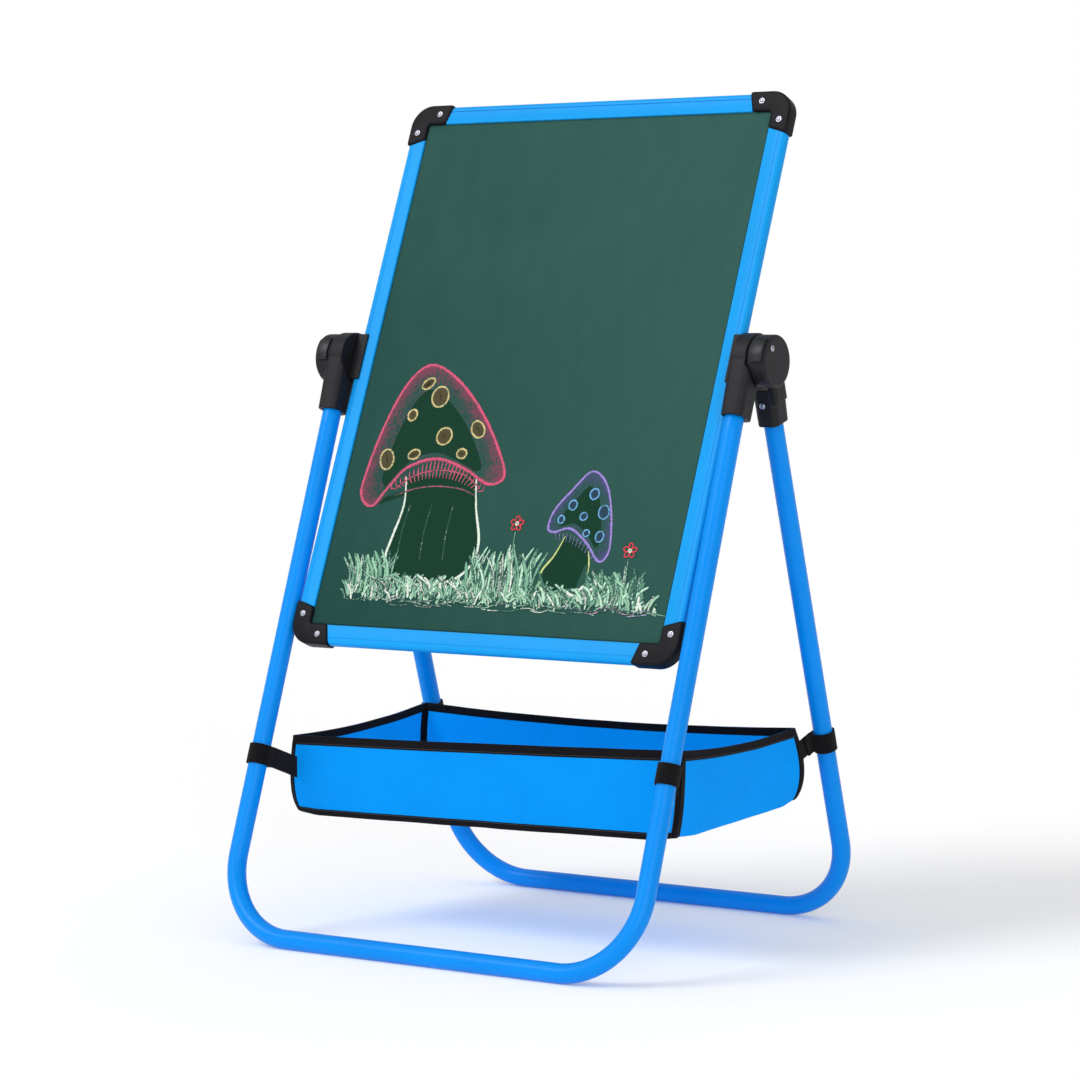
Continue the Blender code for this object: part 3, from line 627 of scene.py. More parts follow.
def rail(name, node, length, leg, turn, look, groove):
    """Made lying along X with its outer edge at y = 0 and its front face towards -Z, then turned."""
    half = length / 2 - leg - 0.0003
    bm = block((-half, half), (0.0, RAIL_W), (-RAIL_T / 2, RAIL_T / 2))
    soften(bm, edges_along(bm, 0, lambda m: m.y < 1e-4), 0.0045, 8)
    soften(bm, edges_along(bm, 0, lambda m: m.y > RAIL_W - 1e-4), 0.0006, 2)
    for z in (-SLOT_HALF, SLOT_HALF):
        slice_at(bm, (0, 0, z), (0, 0, 1))
    slot = [f for f in bm.faces if f.normal.y > 0.9 and abs(f.calc_center_median().z) < SLOT_HALF]
    push(bm, slot, (0, -SLOT_DEPTH, 0))
    at, wide, deep = groove
    for y in (at - wide / 2, at + wide / 2):
        slice_at(bm, (0, y, 0), (0, 1, 0))
    line = [f for f in bm.faces if f.normal.z < -0.9 and abs(f.calc_center_median().y - at) < wide / 2]
    push(bm, line, (0, 0, deep))
    for vert in bm.verts:
        if abs(vert.co.x) > half - 1e-5:
            vert.co.x += math.copysign(CAP_CUT * vert.co.y / RAIL_W, vert.co.x)
    return carried(name, bm, look, "board", (node,), place=AT_BOARD @ turn, smooth=28.0)


def basis(x, y, z, origin):
    made = Matrix((x, y, z)).transposed().to_4x4()
    made.translation = origin
    return made


MID_Z = (UP - DOWN) / 2
DEEP_GROOVE, FINE_GROOVE = (0.0068, 0.0011, 0.0007), (0.0068, 0.0006, 0.0003)
ALONG, UPRIGHT, BACKWARD = Vector((1, 0, 0)), Vector((0, 0, 1)), Vector((0, 1, 0))
for way, length, leg, turn, look, groove in (
        ("top", BOARD_W, CAP_LEG_X, basis(ALONG, -UPRIGHT, BACKWARD, (0, 0, UP)),
         RAIL_PAINT, DEEP_GROOVE),
        ("bottom", BOARD_W, CAP_LEG_X, basis(ALONG, UPRIGHT, BACKWARD, (0, 0, -DOWN)),
         RAIL_PAINT, FINE_GROOVE),
        ("left", BOARD_H, CAP_LEG_Z, basis(UPRIGHT, ALONG, BACKWARD, (-BOARD_W / 2, 0, MID_Z)),
         RAIL_PAINT_UP, FINE_GROOVE),
        ("right", BOARD_H, CAP_LEG_Z, basis(UPRIGHT, -ALONG, BACKWARD, (BOARD_W / 2, 0, MID_Z)),
         RAIL_PAINT_UP, FINE_GROOVE)):
    rail(way + "_rail", "rail_" + way, length, leg, turn, look, groove)

# %% [markdown]
# ## Corner caps
# A cap is an L-shaped moulding with one big round outside and a tight one inside. The L is drawn with six
# points, given its thickness, and then every corner is rounded with the bevel operator: the big corner
# first, the small one next, and last all the long edges. Shallow seats are cut for the rivets.

# %% Caps
CAP_W, CAP_T, CAP_PROUD = 0.0215, 0.0156, 0.0010
RIVETS = (("x", 0.033, 0.0095), ("z", 0.0095, 0.030))     # name, along the width, along the height
SEAT_R, SEAT_DEEP, SLOT_WALL = 0.0036, 0.0011, 0.0137


def corner_cap(label, sx, sz):
    slope = CAP_CUT / RAIL_W
    inner = CAP_W - CAP_PROUD
    outline = [(-CAP_PROUD, -CAP_PROUD), (CAP_LEG_X + slope * CAP_PROUD, -CAP_PROUD),
               (CAP_LEG_X - slope * inner, inner), (inner, inner), (inner, CAP_LEG_Z - slope * inner),
               (-CAP_PROUD, CAP_LEG_Z + slope * CAP_PROUD)]
    bm = bmesh.new()
    face = bm.faces.new([bm.verts.new((a, -CAP_T / 2, b)) for a, b in outline])
    grown = bmesh.ops.extrude_face_region(bm, geom=[face])["geom"]
    bmesh.ops.translate(bm, vec=(0, CAP_T, 0), verts=[g for g in grown if isinstance(g, bmesh.types.BMVert)])
    bmesh.ops.recalc_face_normals(bm, faces=bm.faces[:])
    soften(bm, edges_along(bm, 1, lambda m: m.x < 0 and m.z < 0), 0.0235, 14)
    soften(bm, edges_along(bm, 1, lambda m: abs(m.x - inner) < 1e-5 and abs(m.z - inner) < 1e-5), 0.0035, 5)
    soften(bm, edges_along(bm, 1, lambda m: m.x > 0.03 or m.z > 0.03), 0.0034, 5)
    rims = [e for e in bm.edges if abs(e.verts[0].co.y - e.verts[1].co.y) < 1e-6
            and len(e.link_faces) == 2 and e.calc_face_angle() > 1.0]
    soften(bm, rims, 0.0021, 4)
    made = carried("cap_" + label, bm, CAP_PLASTIC, "board", ("corner_cap_" + label,))
    cuts = [block((SLOT_WALL, 0.2), (-0.0044, 0.0044), (SLOT_WALL, 0.2))]
    for _, a, b in RIVETS:
        for way in (-1, 1):
            seat = bmesh.new()
            at = Matrix.Translation((a, way * CAP_T / 2, b)) @ Matrix.Rotation(math.pi / 2, 4, "X")
            bmesh.ops.create_cone(seat, cap_ends=True, segments=32, radius1=SEAT_R, radius2=SEAT_R,
                                  depth=SEAT_DEEP, matrix=at)
            cuts.append(seat)
    boolean(made, cuts, "DIFFERENCE")
    corner = Vector((sx * BOARD_W / 2, 0, UP if sz > 0 else -DOWN))
    turn = AT_BOARD @ Matrix.Translation(corner) @ Matrix.Diagonal((-sx, 1.0, -sz, 1.0))
    return placed(made, turn)


CORNERS = (("top_left", -1, 1), ("top_right", 1, 1), ("bottom_left", -1, -1), ("bottom_right", 1, -1))
for label, sx, sz in CORNERS:
    corner_cap(label, sx, sz)
print("caps:", len(CORNERS))

# %% [markdown]
# ## Rivets and screws
# A rivet is turned: half of its outline is drawn once and spun about its own axis. The screws are the same
# with a cross pressed into the head.


# %% Turned fasteners
def turned(outline, steps=28):
    """A closed solid of revolution about Z from (radius, height) points that start and end on the axis."""
    bm = bmesh.new()
    verts = [bm.verts.new((r, 0.0, h)) for r, h in outline]
    edges = [bm.edges.new(pair) for pair in zip(verts, verts[1:])]
    bmesh.ops.spin(bm, geom=verts + edges, cent=(0, 0, 0), axis=(0, 0, 1), dvec=(0, 0, 0), angle=math.tau,
                   steps=steps, use_merge=True, use_duplicate=False)
    bmesh.ops.remove_doubles(bm, verts=bm.verts[:], dist=1e-6)
    bmesh.ops.recalc_face_normals(bm, faces=bm.faces[:])
    return bm


HEAD_OUTLINE = [(0.0, 0.0011), (0.0008, 0.00107), (0.0014, 0.00094), (0.0019, 0.00070), (0.0022, 0.00035),
                (0.00225, 0.0), (0.0030, -0.00005), (0.0031, -0.0003), (0.0031, -0.0005)]
for label, sx, sz in CORNERS:
    for way, a, b in RIVETS:
        low = [(r, -h) for r, h in HEAD_OUTLINE[::-1]]
        half = CAP_T / 2
        bm = turned([(r, h + half) for r, h in HEAD_OUTLINE] + [(r, h - half) for r, h in low])
        at = Vector((sx * (BOARD_W / 2 - a), 0, (UP - b) if sz > 0 else (-DOWN + b)))
        turn = Matrix.Translation(at) @ Matrix.Rotation(math.pi / 2, 4, "X")
        name = "rivet_" + label + "_" + way
        carried("domed_" + name, bm, STEEL, "board", (name,), place=AT_BOARD @ turn)


def cross_screw(name, node, place):
    head = [(0.0, 0.0012), (0.0012, 0.00115), (0.0022, 0.0009), (0.0029, 0.0005), (0.0032, 0.0),
            (0.0032, -0.0001), (0.0015, -0.0001), (0.0015, -0.0014), (0.0, -0.0014)]
    made = carried(name, turned(head), STEEL, "rear_frame", (node,))
    boolean(made, [block((-0.0017, 0.0017), (-0.0003, 0.0003), (0.0005, 0.002)),
                   block((-0.0003, 0.0003), (-0.0017, 0.0017), (0.0005, 0.002))], "DIFFERENCE")
    return placed(made, place)


for side, label in ((-1, "left"), (1, "right")):
    flip = FLIP if side < 0 else Matrix.Identity(4)
    outer = Matrix.Translation((0.2671, -0.0054, 0.0148)) @ Matrix.Rotation(math.pi / 2, 4, "Y")
    cross_screw("cross_screw_cheek_" + label, "cheek_screw_" + label, AT_REAR @ flip @ outer)
    inner = Matrix.Translation((LEG_X, 0.0053, -0.0474)) @ Matrix.Rotation(math.pi / 2, 4, "X")
    cross_screw("cross_screw_socket_" + label, "socket_screw_" + label, AT_REAR @ flip @ inner)
print("fasteners made")

# %% [markdown]
# ## Hinge heads
# Each side has a round head on the front leg and a cheek on the rear leg, both moulded, with no sharp
# corner anywhere. Joined blocks and cylinders give the rough shape; a voxel Remesh fuses them into one
# even skin and a few rounds of smoothing leave the soft fillets that moulded plastic has.

# %% Heads
HEAD_R, CHEEK_R = 0.0270, 0.0255
HEAD_X, CHEEK_X = (0.2312, 0.2472), (0.2481, 0.2669)
SOCKET_X, SOCKET_ROUND, SOCKET_FLARE = (0.2280, 0.2513), 0.0072, 0.0012
LEG_BORE_R, PIN_BORE_R = 0.0098, 0.0043
INSIDE, OUTSIDE = 0.20, 0.29                    # X limits that are well past any head
TRIM = 0.00004                                  # keeps a cutter's face off the face it trims


def socket_block(y, z_top, z_end, flare_to):
    """A leg socket: a rounded, slightly tapered box; flare_to is the y side that leans out at its top."""
    bm = block(SOCKET_X, y, (-z_end, -z_top))
    for vert in bm.verts:
        if vert.co.z > -z_top - 1e-5:
            vert.co.x += SOCKET_FLARE if vert.co.x > LEG_X else 0.0
            vert.co.y += SOCKET_FLARE * flare_to if (vert.co.y - sum(y) / 2) * flare_to > 0 else 0.0
    straight = edges_along(bm, 2)
    leaning = [e for e in bm.edges if abs(e.verts[0].co.z - e.verts[1].co.z) > 0.01 and e not in straight]
    return soften(bm, straight + leaning, SOCKET_ROUND, 6)


def moulded_skin(made, voxel, rounds):
    remesh = made.modifiers.new("skin", "REMESH")
    remesh.mode, remesh.voxel_size, remesh.adaptivity = "VOXEL", voxel, 0.0
    smooth = made.modifiers.new("fillets", "SMOOTH")
    smooth.factor, smooth.iterations = 0.5, rounds
    keep_result(made)
    made.data.shade_smooth()
    return made


def other_hand(made, name, body, node):
    """The left-hand twin of a right-hand piece."""
    mesh = made.data.copy()
    mesh.name = name
    mesh.transform(FLIP)
    mesh.flip_normals()
    twin = new_object(name, mesh)
    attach(twin, body)
    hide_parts(node)
    return twin


def leg_bore(y, top, depth=0.05):
    bm = bmesh.new()
    bmesh.ops.create_cone(bm, cap_ends=True, segments=48, radius1=LEG_BORE_R, radius2=LEG_BORE_R,
                          depth=depth, matrix=Matrix.Translation((LEG_X, y, -top - depth / 2)))
    return bm


VOXEL = 0.0006

# %% Front heads
head = carried("hinge_front_right", rod(HEAD_R, HEAD_X), HINGE_PLASTIC, "front_frame",
               ("head_front_right",))
boolean(head, [socket_block((-0.0252, 0.0022), 0.008, 0.061, -1)], "UNION")
boolean(head, [rod(HEAD_R - 0.0001, (INSIDE, HEAD_X[0] + TRIM), sides=96),
               rod(HEAD_R + 0.0011, (HEAD_X[1] - TRIM, OUTSIDE), sides=96),
               rod(PIN_BORE_R, (INSIDE, OUTSIDE), sides=32), leg_bore(FRONT_LEG_Y, 0.0357)], "DIFFERENCE")
moulded_skin(head, VOXEL, 5)
head.data.transform(AT_FRONT)
other_hand(head, "hinge_front_left", "front_frame", "head_front_left")
print("front head faces:", len(head.data.polygons))

# %% Rear heads
disc = rod(CHEEK_R, CHEEK_X)
soften(disc, [e for e in disc.edges if min(v.co.x for v in e.verts) > CHEEK_X[1] - 1e-5], 0.0026, 4)
cheek = carried("hinge_rear_right", disc, HINGE_PLASTIC, "rear_frame", ("head_rear_right",))
arm = block((CHEEK_X[0] + 0.0001, CHEEK_X[0] + 0.0085), (0.0045, 0.0269), (-0.0455, -0.006))
soften(arm, edges_along(arm, 2, lambda m: m.x > 0.25), 0.004, 4)
boolean(cheek, [arm, socket_block((0.0055, 0.0329), 0.0315, 0.069, 1)], "UNION")
boolean(cheek, [block((0.2506, 0.2648), (-0.04, -0.0070), (0.0077, 0.04)), leg_bore(REAR_LEG_Y, 0.0377),
                rod(PIN_BORE_R, (INSIDE, 0.2657), sides=32)], "DIFFERENCE")
moulded_skin(cheek, VOXEL, 5)
cheek.data.transform(AT_REAR)
other_hand(cheek, "hinge_rear_left", "rear_frame", "head_rear_left")
print("rear head faces:", len(cheek.data.polygons))

# %% Lock buttons
# A sliding key fills the notch in each cheek. It is cut from a slightly larger round than the cheek, and
# has three grooves for a thumb.
button = carried("lock_key_right", rod(CHEEK_R + 0.0016, (0.2509, 0.2645), sides=128), BUTTON_PLASTIC,
                 "lock_button_right", ("lock_button_right",))
boolean(button, [block((0.24, 0.28), (-0.05, -0.0105), (0.0080, 0.0258))], "INTERSECT")
boolean(button, [block((0.2522, 0.2632), (-0.05, -0.5 * z - 0.0202), (z, z + 0.0010))
                 for z in (0.0102, 0.0127, 0.0152)], "DIFFERENCE")
edge = button.modifiers.new("rounded", "BEVEL")
edge.width, edge.segments, edge.limit_method, edge.angle_limit = 0.0006, 2, "ANGLE", math.radians(40)
keep_result(button)
placed(button, AT_REAR)
other_hand(button, "lock_key_left", "lock_button_left", "lock_button_left")
print("button faces:", len(button.data.polygons))

# %% [markdown]
# ## Pieces whose CAD shape is already right
# The panels, their core, the brackets and the pins keep their CAD meshes and only get a finish.

# %% Finishes on CAD pieces
FINISH_OF = {"chalk_panel": CHALK_FACE, "white_panel": WHITE_FACE, "panel_core": CORE,
             "rail_bracket_left": HINGE_PLASTIC, "rail_bracket_right": HINGE_PLASTIC,
             "pivot_pin_left": STEEL, "pivot_pin_right": STEEL}
for node, look in FINISH_OF.items():
    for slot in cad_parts[node].material_slots:
        slot.material = look
print("CAD pieces kept:", sorted(FINISH_OF))

# %% [markdown]
# ## The basket
# A shallow trough of blue cloth, sewn at its four upright corners and bound with black tape along the rim,
# the corners and the front of the floor. It hangs from four straps, so its rims sag and its front left
# corner hangs lowest. One function says where a point of the cloth lies; a grid is given walls by
# extruding its border, and each of its points is sent through that function. Every tape is a copy of the
# cloth's own outermost rows of faces, made thicker, so it follows each wrinkle.

# %% Where the cloth hangs
TO_FRONT, TO_REAR = 0.113, 0.101                # from below the axis to the basket's two long walls
FRONT_Y, REAR_Y = AXIS.y - TO_FRONT, AXIS.y + TO_REAR
RIM = {(-1, -1): (-0.2312, FRONT_Y, 0.1935), (1, -1): (0.2268, FRONT_Y, 0.2085),
       (-1, 1): (-0.2215, REAR_Y, 0.2050), (1, 1): (0.2275, REAR_Y - 0.002, 0.2070)}
FLOOR = {(-1, -1): (-0.2322, FRONT_Y, 0.1145), (1, -1): (0.2235, FRONT_Y - 0.005, 0.1240),
         (-1, 1): (-0.2235, REAR_Y, 0.1310), (1, 1): (0.2305, REAR_Y + 0.004, 0.1340)}


def lerp(a, b, t):
    return a + (b - a) * t


def corner_mix(table, s, t):
    """The point inside a four-cornered patch; s runs left to right and t front to rear, each 0 to 1."""
    front = lerp(Vector(table[-1, -1]), Vector(table[1, -1]), s)
    rear = lerp(Vector(table[-1, 1]), Vector(table[1, 1]), s)
    return lerp(front, rear, t)


SAG_FRONT, SAG_REAR, SAG_SIDE, SAG_FLOOR = 0.0010, 0.0062, 0.0050, 0.0055
BELLY_FRONT, BELLY_REAR, BELLY_SIDE = 0.0030, 0.0022, 0.0020
SWELL, SWELL_REAR_RIGHT, TUCK = 0.0028, 0.0055, 0.0042     # the upright seams: outward, and in at the floor


def hang(s, t, h):
    """Where the cloth's point lies: s across, t front to rear, h from 0 at the floor to 1 at the rim."""
    top, low = corner_mix(RIM, s, t), corner_mix(FLOOR, s, t)
    bow_s, bow_t = 4 * s * (1 - s), 4 * t * (1 - t)
    point = lerp(low, top, h)
    on_front, on_rear = max(0.0, 1 - t * 8), max(0.0, 1 - (1 - t) * 8)
    on_side = max(0.0, 1 - min(s, 1 - s) * 12)
    sag = SAG_FRONT * bow_s * on_front + SAG_REAR * bow_s * on_rear + SAG_SIDE * bow_t * on_side
    point.z -= sag * h ** 1.5
    point.z -= SAG_FLOOR * (1 - h) * bow_s ** 0.6 * bow_t ** 0.6
    belly = math.sin(math.pi * min(1.0, max(0.0, h))) ** 0.8
    point.y -= BELLY_FRONT * belly * bow_s ** 0.5 * on_front
    point.y += BELLY_REAR * belly * bow_s ** 0.5 * on_rear
    if t >= 0.06:
        point.x += math.copysign(BELLY_SIDE * belly * bow_t ** 0.5 * on_side, s - 0.5)
    ripple = noise.noise(Vector((s * 7.0, t * 5.0, h * 1.6)))
    fine = noise.noise(Vector((s * 19.0, t * 9.0, h * 3.1 + 7.0)))
    near_seam = max(0.0, 1 - min(s, 1 - s) * 16) * max(0.0, 1 - min(t, 1 - t) * 7)
    most = SWELL_REAR_RIGHT if s > 0.5 and t > 0.5 else SWELL
    swell = most * math.sin(math.pi * min(1.0, h * 1.02)) * near_seam
    tuck = TUCK * (1 - h) ** 7 * near_seam
    point.x += (swell - tuck) * (1.0 if s > 0.5 else -1.0)
    point.y += (0.3 * swell - tuck) * (1.0 if t > 0.5 else -1.0)
    point.z += 0.6 * tuck
    wall = on_front or -on_rear
    point.y += (0.0016 * ripple + 0.0006 * fine) * wall * (0.35 + 0.65 * bow_s)
    point.x += (0.0010 * ripple + 0.0004 * fine) * on_side * (0.2 + 0.8 * bow_t)
    point.z += (0.0012 * ripple + 0.0005 * fine) * (1 - h) * bow_s ** 0.5 * bow_t ** 0.5
    return point


# %% The cloth shell
WIDTH, DEPTH, HEIGHT = 0.453, 0.214, 0.082


def stops(length, band, count):
    """Even stops from 0 to 1, with one extra at the tape's width from each end."""
    inner = [band / length + (1 - 2 * band / length) * i / count for i in range(count + 1)]
    return [0.0] + inner + [1.0]


ACROSS = stops(WIDTH, 0.0040, 84)
BACK = stops(DEPTH, 0.0068, 38)
UPWARD = [0.0, 0.035, 0.07] + [0.07 + 0.81 * i / 13 for i in range(1, 14)] + [0.92, 0.965, 1.0]
bm = bmesh.new()
bmesh.ops.create_grid(bm, x_segments=len(ACROSS) - 1, y_segments=len(BACK) - 1, size=0.5)
border = [e for e in bm.edges if e.is_boundary]
for _ in UPWARD[1:]:
    border = grow(bm, border, (0, 0, 1.0))
bmesh.ops.recalc_face_normals(bm, faces=bm.faces[:])

place_of = bm.verts.layers.float_vector.new("flat place")
for vert in bm.verts:
    s = ACROSS[round((vert.co.x + 0.5) * (len(ACROSS) - 1))]
    t = BACK[round((vert.co.y + 0.5) * (len(BACK) - 1))]
    vert[place_of] = (s, t, UPWARD[round(vert.co.z)])
cloth_uv = bm.loops.layers.uv.new("cloth")
for face in bm.faces:
    is_wall = abs(face.normal.z) < 0.5
    runs_across = abs(face.normal.y) > 0.5
    for loop in face.loops:
        s, t, h = loop.vert[place_of]
        if is_wall:
            loop[cloth_uv].uv = (s * WIDTH if runs_across else t * DEPTH + 1.0, h * HEIGHT)
        else:
            loop[cloth_uv].uv = (s * WIDTH, -t * DEPTH)
for vert in bm.verts:
    vert.co = hang(*vert[place_of])
if min(bm.faces, key=lambda f: f.calc_center_median().z).normal.z > 0:
    bmesh.ops.reverse_faces(bm, faces=bm.faces[:])
shell = bm
print("cloth faces:", len(shell.faces))


# %% Cloth, tapes and seam tape from the same shell
def from_shell(name, look, keep, thickness, nodes=()):
    """A piece made of the shell's faces that pass the test, thickened evenly to both sides."""
    bm = shell.copy()
    layer = bm.verts.layers.float_vector["flat place"]
    drop = []
    for face in bm.faces:
        middle = sum((Vector(v[layer]) for v in face.verts), Vector()) / len(face.verts)
        if not keep(middle.x, middle.y, middle.z):
            drop.append(face)
    bmesh.ops.delete(bm, geom=drop, context="FACES")
    made = carried(name, bm, look, "front_frame", nodes, smooth=60.0, fix=False)
    wall = made.modifiers.new("thickness", "SOLIDIFY")
    wall.thickness, wall.offset, wall.use_rim = thickness, 0.0, True
    rounded = made.modifiers.new("folded edge", "BEVEL")
    rounded.width, rounded.segments = thickness * 0.3, 2
    rounded.limit_method, rounded.angle_limit = "ANGLE", math.radians(50)
    return keep_result(made)


EDGE_S, EDGE_T = ACROSS[1] + 1e-5, BACK[1] + 1e-5
basket = from_shell("basket_cloth", BASKET_CLOTH, lambda s, t, h: True, 0.0012, ("basket",))
rim_tape = from_shell("basket_rim_tape", BINDING, lambda s, t, h: h > 0.88, 0.0030)
corner_tape = from_shell("basket_corner_tape", BINDING, lambda s, t, h: 1e-6 < h < 0.90
                         and min(s, 1 - s) < EDGE_S and min(t, 1 - t) < EDGE_T, 0.0034)
floor_tape = from_shell("basket_front_tape", BINDING, lambda s, t, h: (h < 0.06 and t < 1e-6)
                        or (h < 1e-6 and t < EDGE_T), 0.0030)
bpy.context.view_layer.update()


# %% [markdown]
# Stitches are small rounded rods laid end to end a little inside the edge of each tape, on the outside.


# %% Stitches
def stitch_line(bm, points, outward, gap=0.0040):
    """Lays stitches along a path; outward gives the direction off the cloth at each point."""
    lengths = [0.0]
    for a, b in zip(points, points[1:]):
        lengths.append(lengths[-1] + (b - a).length)
    count = int(lengths[-1] / gap)
    j = 0
    for i in range(count):
        along = (i + 0.5) * gap
        while lengths[j + 1] < along:
            j += 1
        t = (along - lengths[j]) / (lengths[j + 1] - lengths[j])
        middle = lerp(points[j], points[j + 1], t)
        off = lerp(outward[j], outward[j + 1], t).normalized()
        run = (points[j + 1] - points[j]).normalized()
        side = run.cross(off).normalized()
        frame_at = Matrix((side, off, run)).transposed().to_4x4()
        frame_at.translation = middle
        bmesh.ops.create_cone(bm, cap_ends=True, segments=6, radius1=0.00036, radius2=0.00036,
                              depth=0.0027, matrix=frame_at)


def path_on_wall(wall, h, count=120, lift=0.0019):
    """Points just off the outside of a wall, at the height h, with their outward directions."""
    ways = {"front": (lambda k: (k, 0.0), Vector((0, -1, 0))),
            "rear": (lambda k: (k, 1.0), Vector((0, 1, 0))),
            "left": (lambda k: (0.0, k), Vector((-1, 0, 0))),
            "right": (lambda k: (1.0, k), Vector((1, 0, 0)))}
    spot, off = ways[wall]
    points = [hang(*spot(0.012 + 0.976 * i / count), h) + off * lift for i in range(count + 1)]
    return points, [off] * len(points)


bm = bmesh.new()
for wall in ("front", "rear", "left", "right"):
    stitch_line(bm, *path_on_wall(wall, 0.905))
stitch_line(bm, *path_on_wall("front", 0.055))
for s, t in ((0.0, 0.0), (1.0, 0.0), (0.0, 1.0), (1.0, 1.0)):
    off = Vector((0, -1 if t < 0.5 else 1, 0))
    inset = 0.0030 / WIDTH
    at = s + (inset if s < 0.5 else -inset)
    line = [hang(at, t, 0.06 + 0.81 * i / 30) + off * 0.0021 for i in range(31)]
    stitch_line(bm, line, [off] * 31)
stitches = carried("basket_stitches", bm, THREAD, "front_frame")
print("stitch faces:", len(stitches.data.polygons))

# %% [markdown]
# ## Straps
# Each corner hangs from a loop of webbing: it lies flat on the basket's side, passes round the leg and
# comes back over itself, where it is sewn, leaving a short free tab. A short upright edge is extruded
# along that path, and the band is then given its thickness.

# %% Straps
STRAP_WIDE, STRAP_THICK, STRAP_LAP = 0.020, 0.0015, 0.005
FREE_END = {"front": 0.0085, "rear": 0.021}
LEAD, ROUND, TAIL = 10, 29, 9       # points of a strap's path before, round and after the leg


def strap_path(way, reach, end):
    """The band's middle line round a leg at (0, 0), in plan; way says on which side the basket lies."""
    r = TUBE_R + 0.0008 + STRAP_THICK / 2
    inner_x = -r - 0.0008
    path = [(inner_x, way * lerp(reach, 0.004, i / LEAD)) for i in range(LEAD)]
    start = math.pi - 0.30
    for i in range(ROUND):
        a = start + math.tau * 0.93 * i / (ROUND - 1)
        path.append((r * math.cos(a), -way * r * math.sin(a)))
    x1, y1 = path[-1]
    for i in range(1, TAIL + 1):
        k = i / TAIL
        path.append((lerp(x1, inner_x + 0.0019 + 0.0012 * k ** 3, min(1.0, 1.6 * k)),
                     lerp(y1, way * end, k)))
    return [Vector((x, y, 0)) for x, y in path]


def strap_piece(name, nodes, body, side, at, runs, place, slant):
    """Webbing along each of the runs, which are paths in plan; slant cuts the free end at an angle."""
    bm = bmesh.new()
    uv = bm.loops.layers.uv.new("cloth")
    for path in runs:
        rows = []
        for i, spot in enumerate(path):
            rows.append([])
            for j in range(7):
                z = STRAP_WIDE * (j / 6 - 0.5)
                cut = slant * z if path is runs[-1] and i == len(path) - 1 else 0.0
                rows[-1].append(bm.verts.new((spot.x, spot.y + cut, z)))
        far = 0.0
        for i, (a, b) in enumerate(zip(rows, rows[1:])):
            step = (path[i + 1] - path[i]).length
            for j in range(6):
                face = bm.faces.new((a[j], b[j], b[j + 1], a[j + 1]))
                for loop, u, k in zip(face.loops, (far, far + step, far + step, far), (j, j, j + 1, j + 1)):
                    loop[uv].uv = (u, STRAP_WIDE * k / 6)
            far += step
    bmesh.ops.transform(bm, matrix=Matrix.Translation(at), verts=bm.verts[:])
    mirrored(bm, side)
    made = carried(name, bm, WEBBING, body, nodes, place=place, smooth=50.0)
    wall = made.modifiers.new("thickness", "SOLIDIFY")
    wall.thickness, wall.offset = STRAP_THICK, 0.0
    soft = made.modifiers.new("woven edge", "BEVEL")
    soft.width, soft.segments, soft.limit_method, soft.angle_limit = 0.0004, 2, "ANGLE", math.radians(50)
    return keep_result(made)


tabs = {"front": [], "rear": []}
for end, body, place, leg_y, lean in (("front", "front_frame", AT_FRONT, FRONT_LEG_Y, FRONT_LEAN),
                                      ("rear", "rear_frame", AT_REAR, REAR_LEG_Y, REAR_LEAN)):
    for side, label in ((-1, "left"), (1, "right")):
        height = 0.178 if (end, label) == ("front", "left") else 0.191
        down = (AXIS.z - height + abs(leg_y) * math.sin(lean)) / math.cos(lean)
        leg_at = down * math.sin(lean) + abs(leg_y) * math.cos(lean)
        reach = (leg_at - (TO_FRONT if end == "front" else TO_REAR) + STRAP_LAP) / math.cos(lean)
        way = 1 if end == "front" else -1
        path = strap_path(way, reach, FREE_END[end])
        at = (LEG_X, leg_y, -down)
        slant = way * (0.25 if label == "right" else -0.2)
        strap_piece("strap_loop_" + end + "_" + label, ("strap_" + end + "_" + label,), body, side, at,
                    [path[LEAD - 1:LEAD + ROUND + 1]], place, 0.0)
        tabs[end].append(strap_piece("strap_tab_" + end + "_" + label, (), body, side, at,
                                     [path[:LEAD], path[LEAD + ROUND - 1:]], place, slant))
print("straps:", [s.name for s in tabs["front"] + tabs["rear"]])

# %% [markdown]
# ## Cloth pieces with meshes of their own
# The rear legs swing forward to the front legs when the easel folds, and the cloth between them crumples
# flat.
# Here every cloth piece that rides on the front frame, and each free end of the rear straps, only gets a
# mesh of its own; nothing squashes them. The loops round the legs keep their shape.

# %% Cloth pieces get their own meshes
for made in (basket, rim_tape, corner_tape, floor_tape, stitches, *tabs["front"]):
    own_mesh(made)
for made in tabs["rear"]:
    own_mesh(made)

# %% [markdown]
# ## The chalk drawing
# Somebody has drawn two toadstools in a meadow on the lower part of the board. Each stroke is a thin
# ribbon that lies a tenth of a millimetre over the board. Its colour is held in an attribute, and its
# material lets the board's own green show between the grains of chalk.

# %% Chalk finish
CHALK, tree, shader = finish("drawn chalk", 0.9)
place = object_place(tree)
board_green = use(tree, "chalk board colour", {"Place": place})
hue = add(tree, "Attribute", attribute_name="chalk")
across = add(tree, "UVMap", uv_map="stroke")
cut = add(tree, "SeparateXYZ", {0: across.outputs[0]})
away = math_node(tree, "ABSOLUTE", minus(tree, cut.outputs["X"], 0.5))
edge_fade = narrow(tree, away, 0.20, 0.5, 0.0, 0.22)
press = minus(tree, cut.outputs["Y"], edge_fade)
grain = use(tree, "chalk grain", {"Place": place, "Press": press})
chalked = mix_colour(tree, grain, board_green, hue.outputs["Color"])
tree.links.new(chalked, shader.inputs["Base Color"])
relief(tree, shader, grain, 0.3, 0.0003)
shader.inputs["Specular IOR Level"].default_value = 0.2

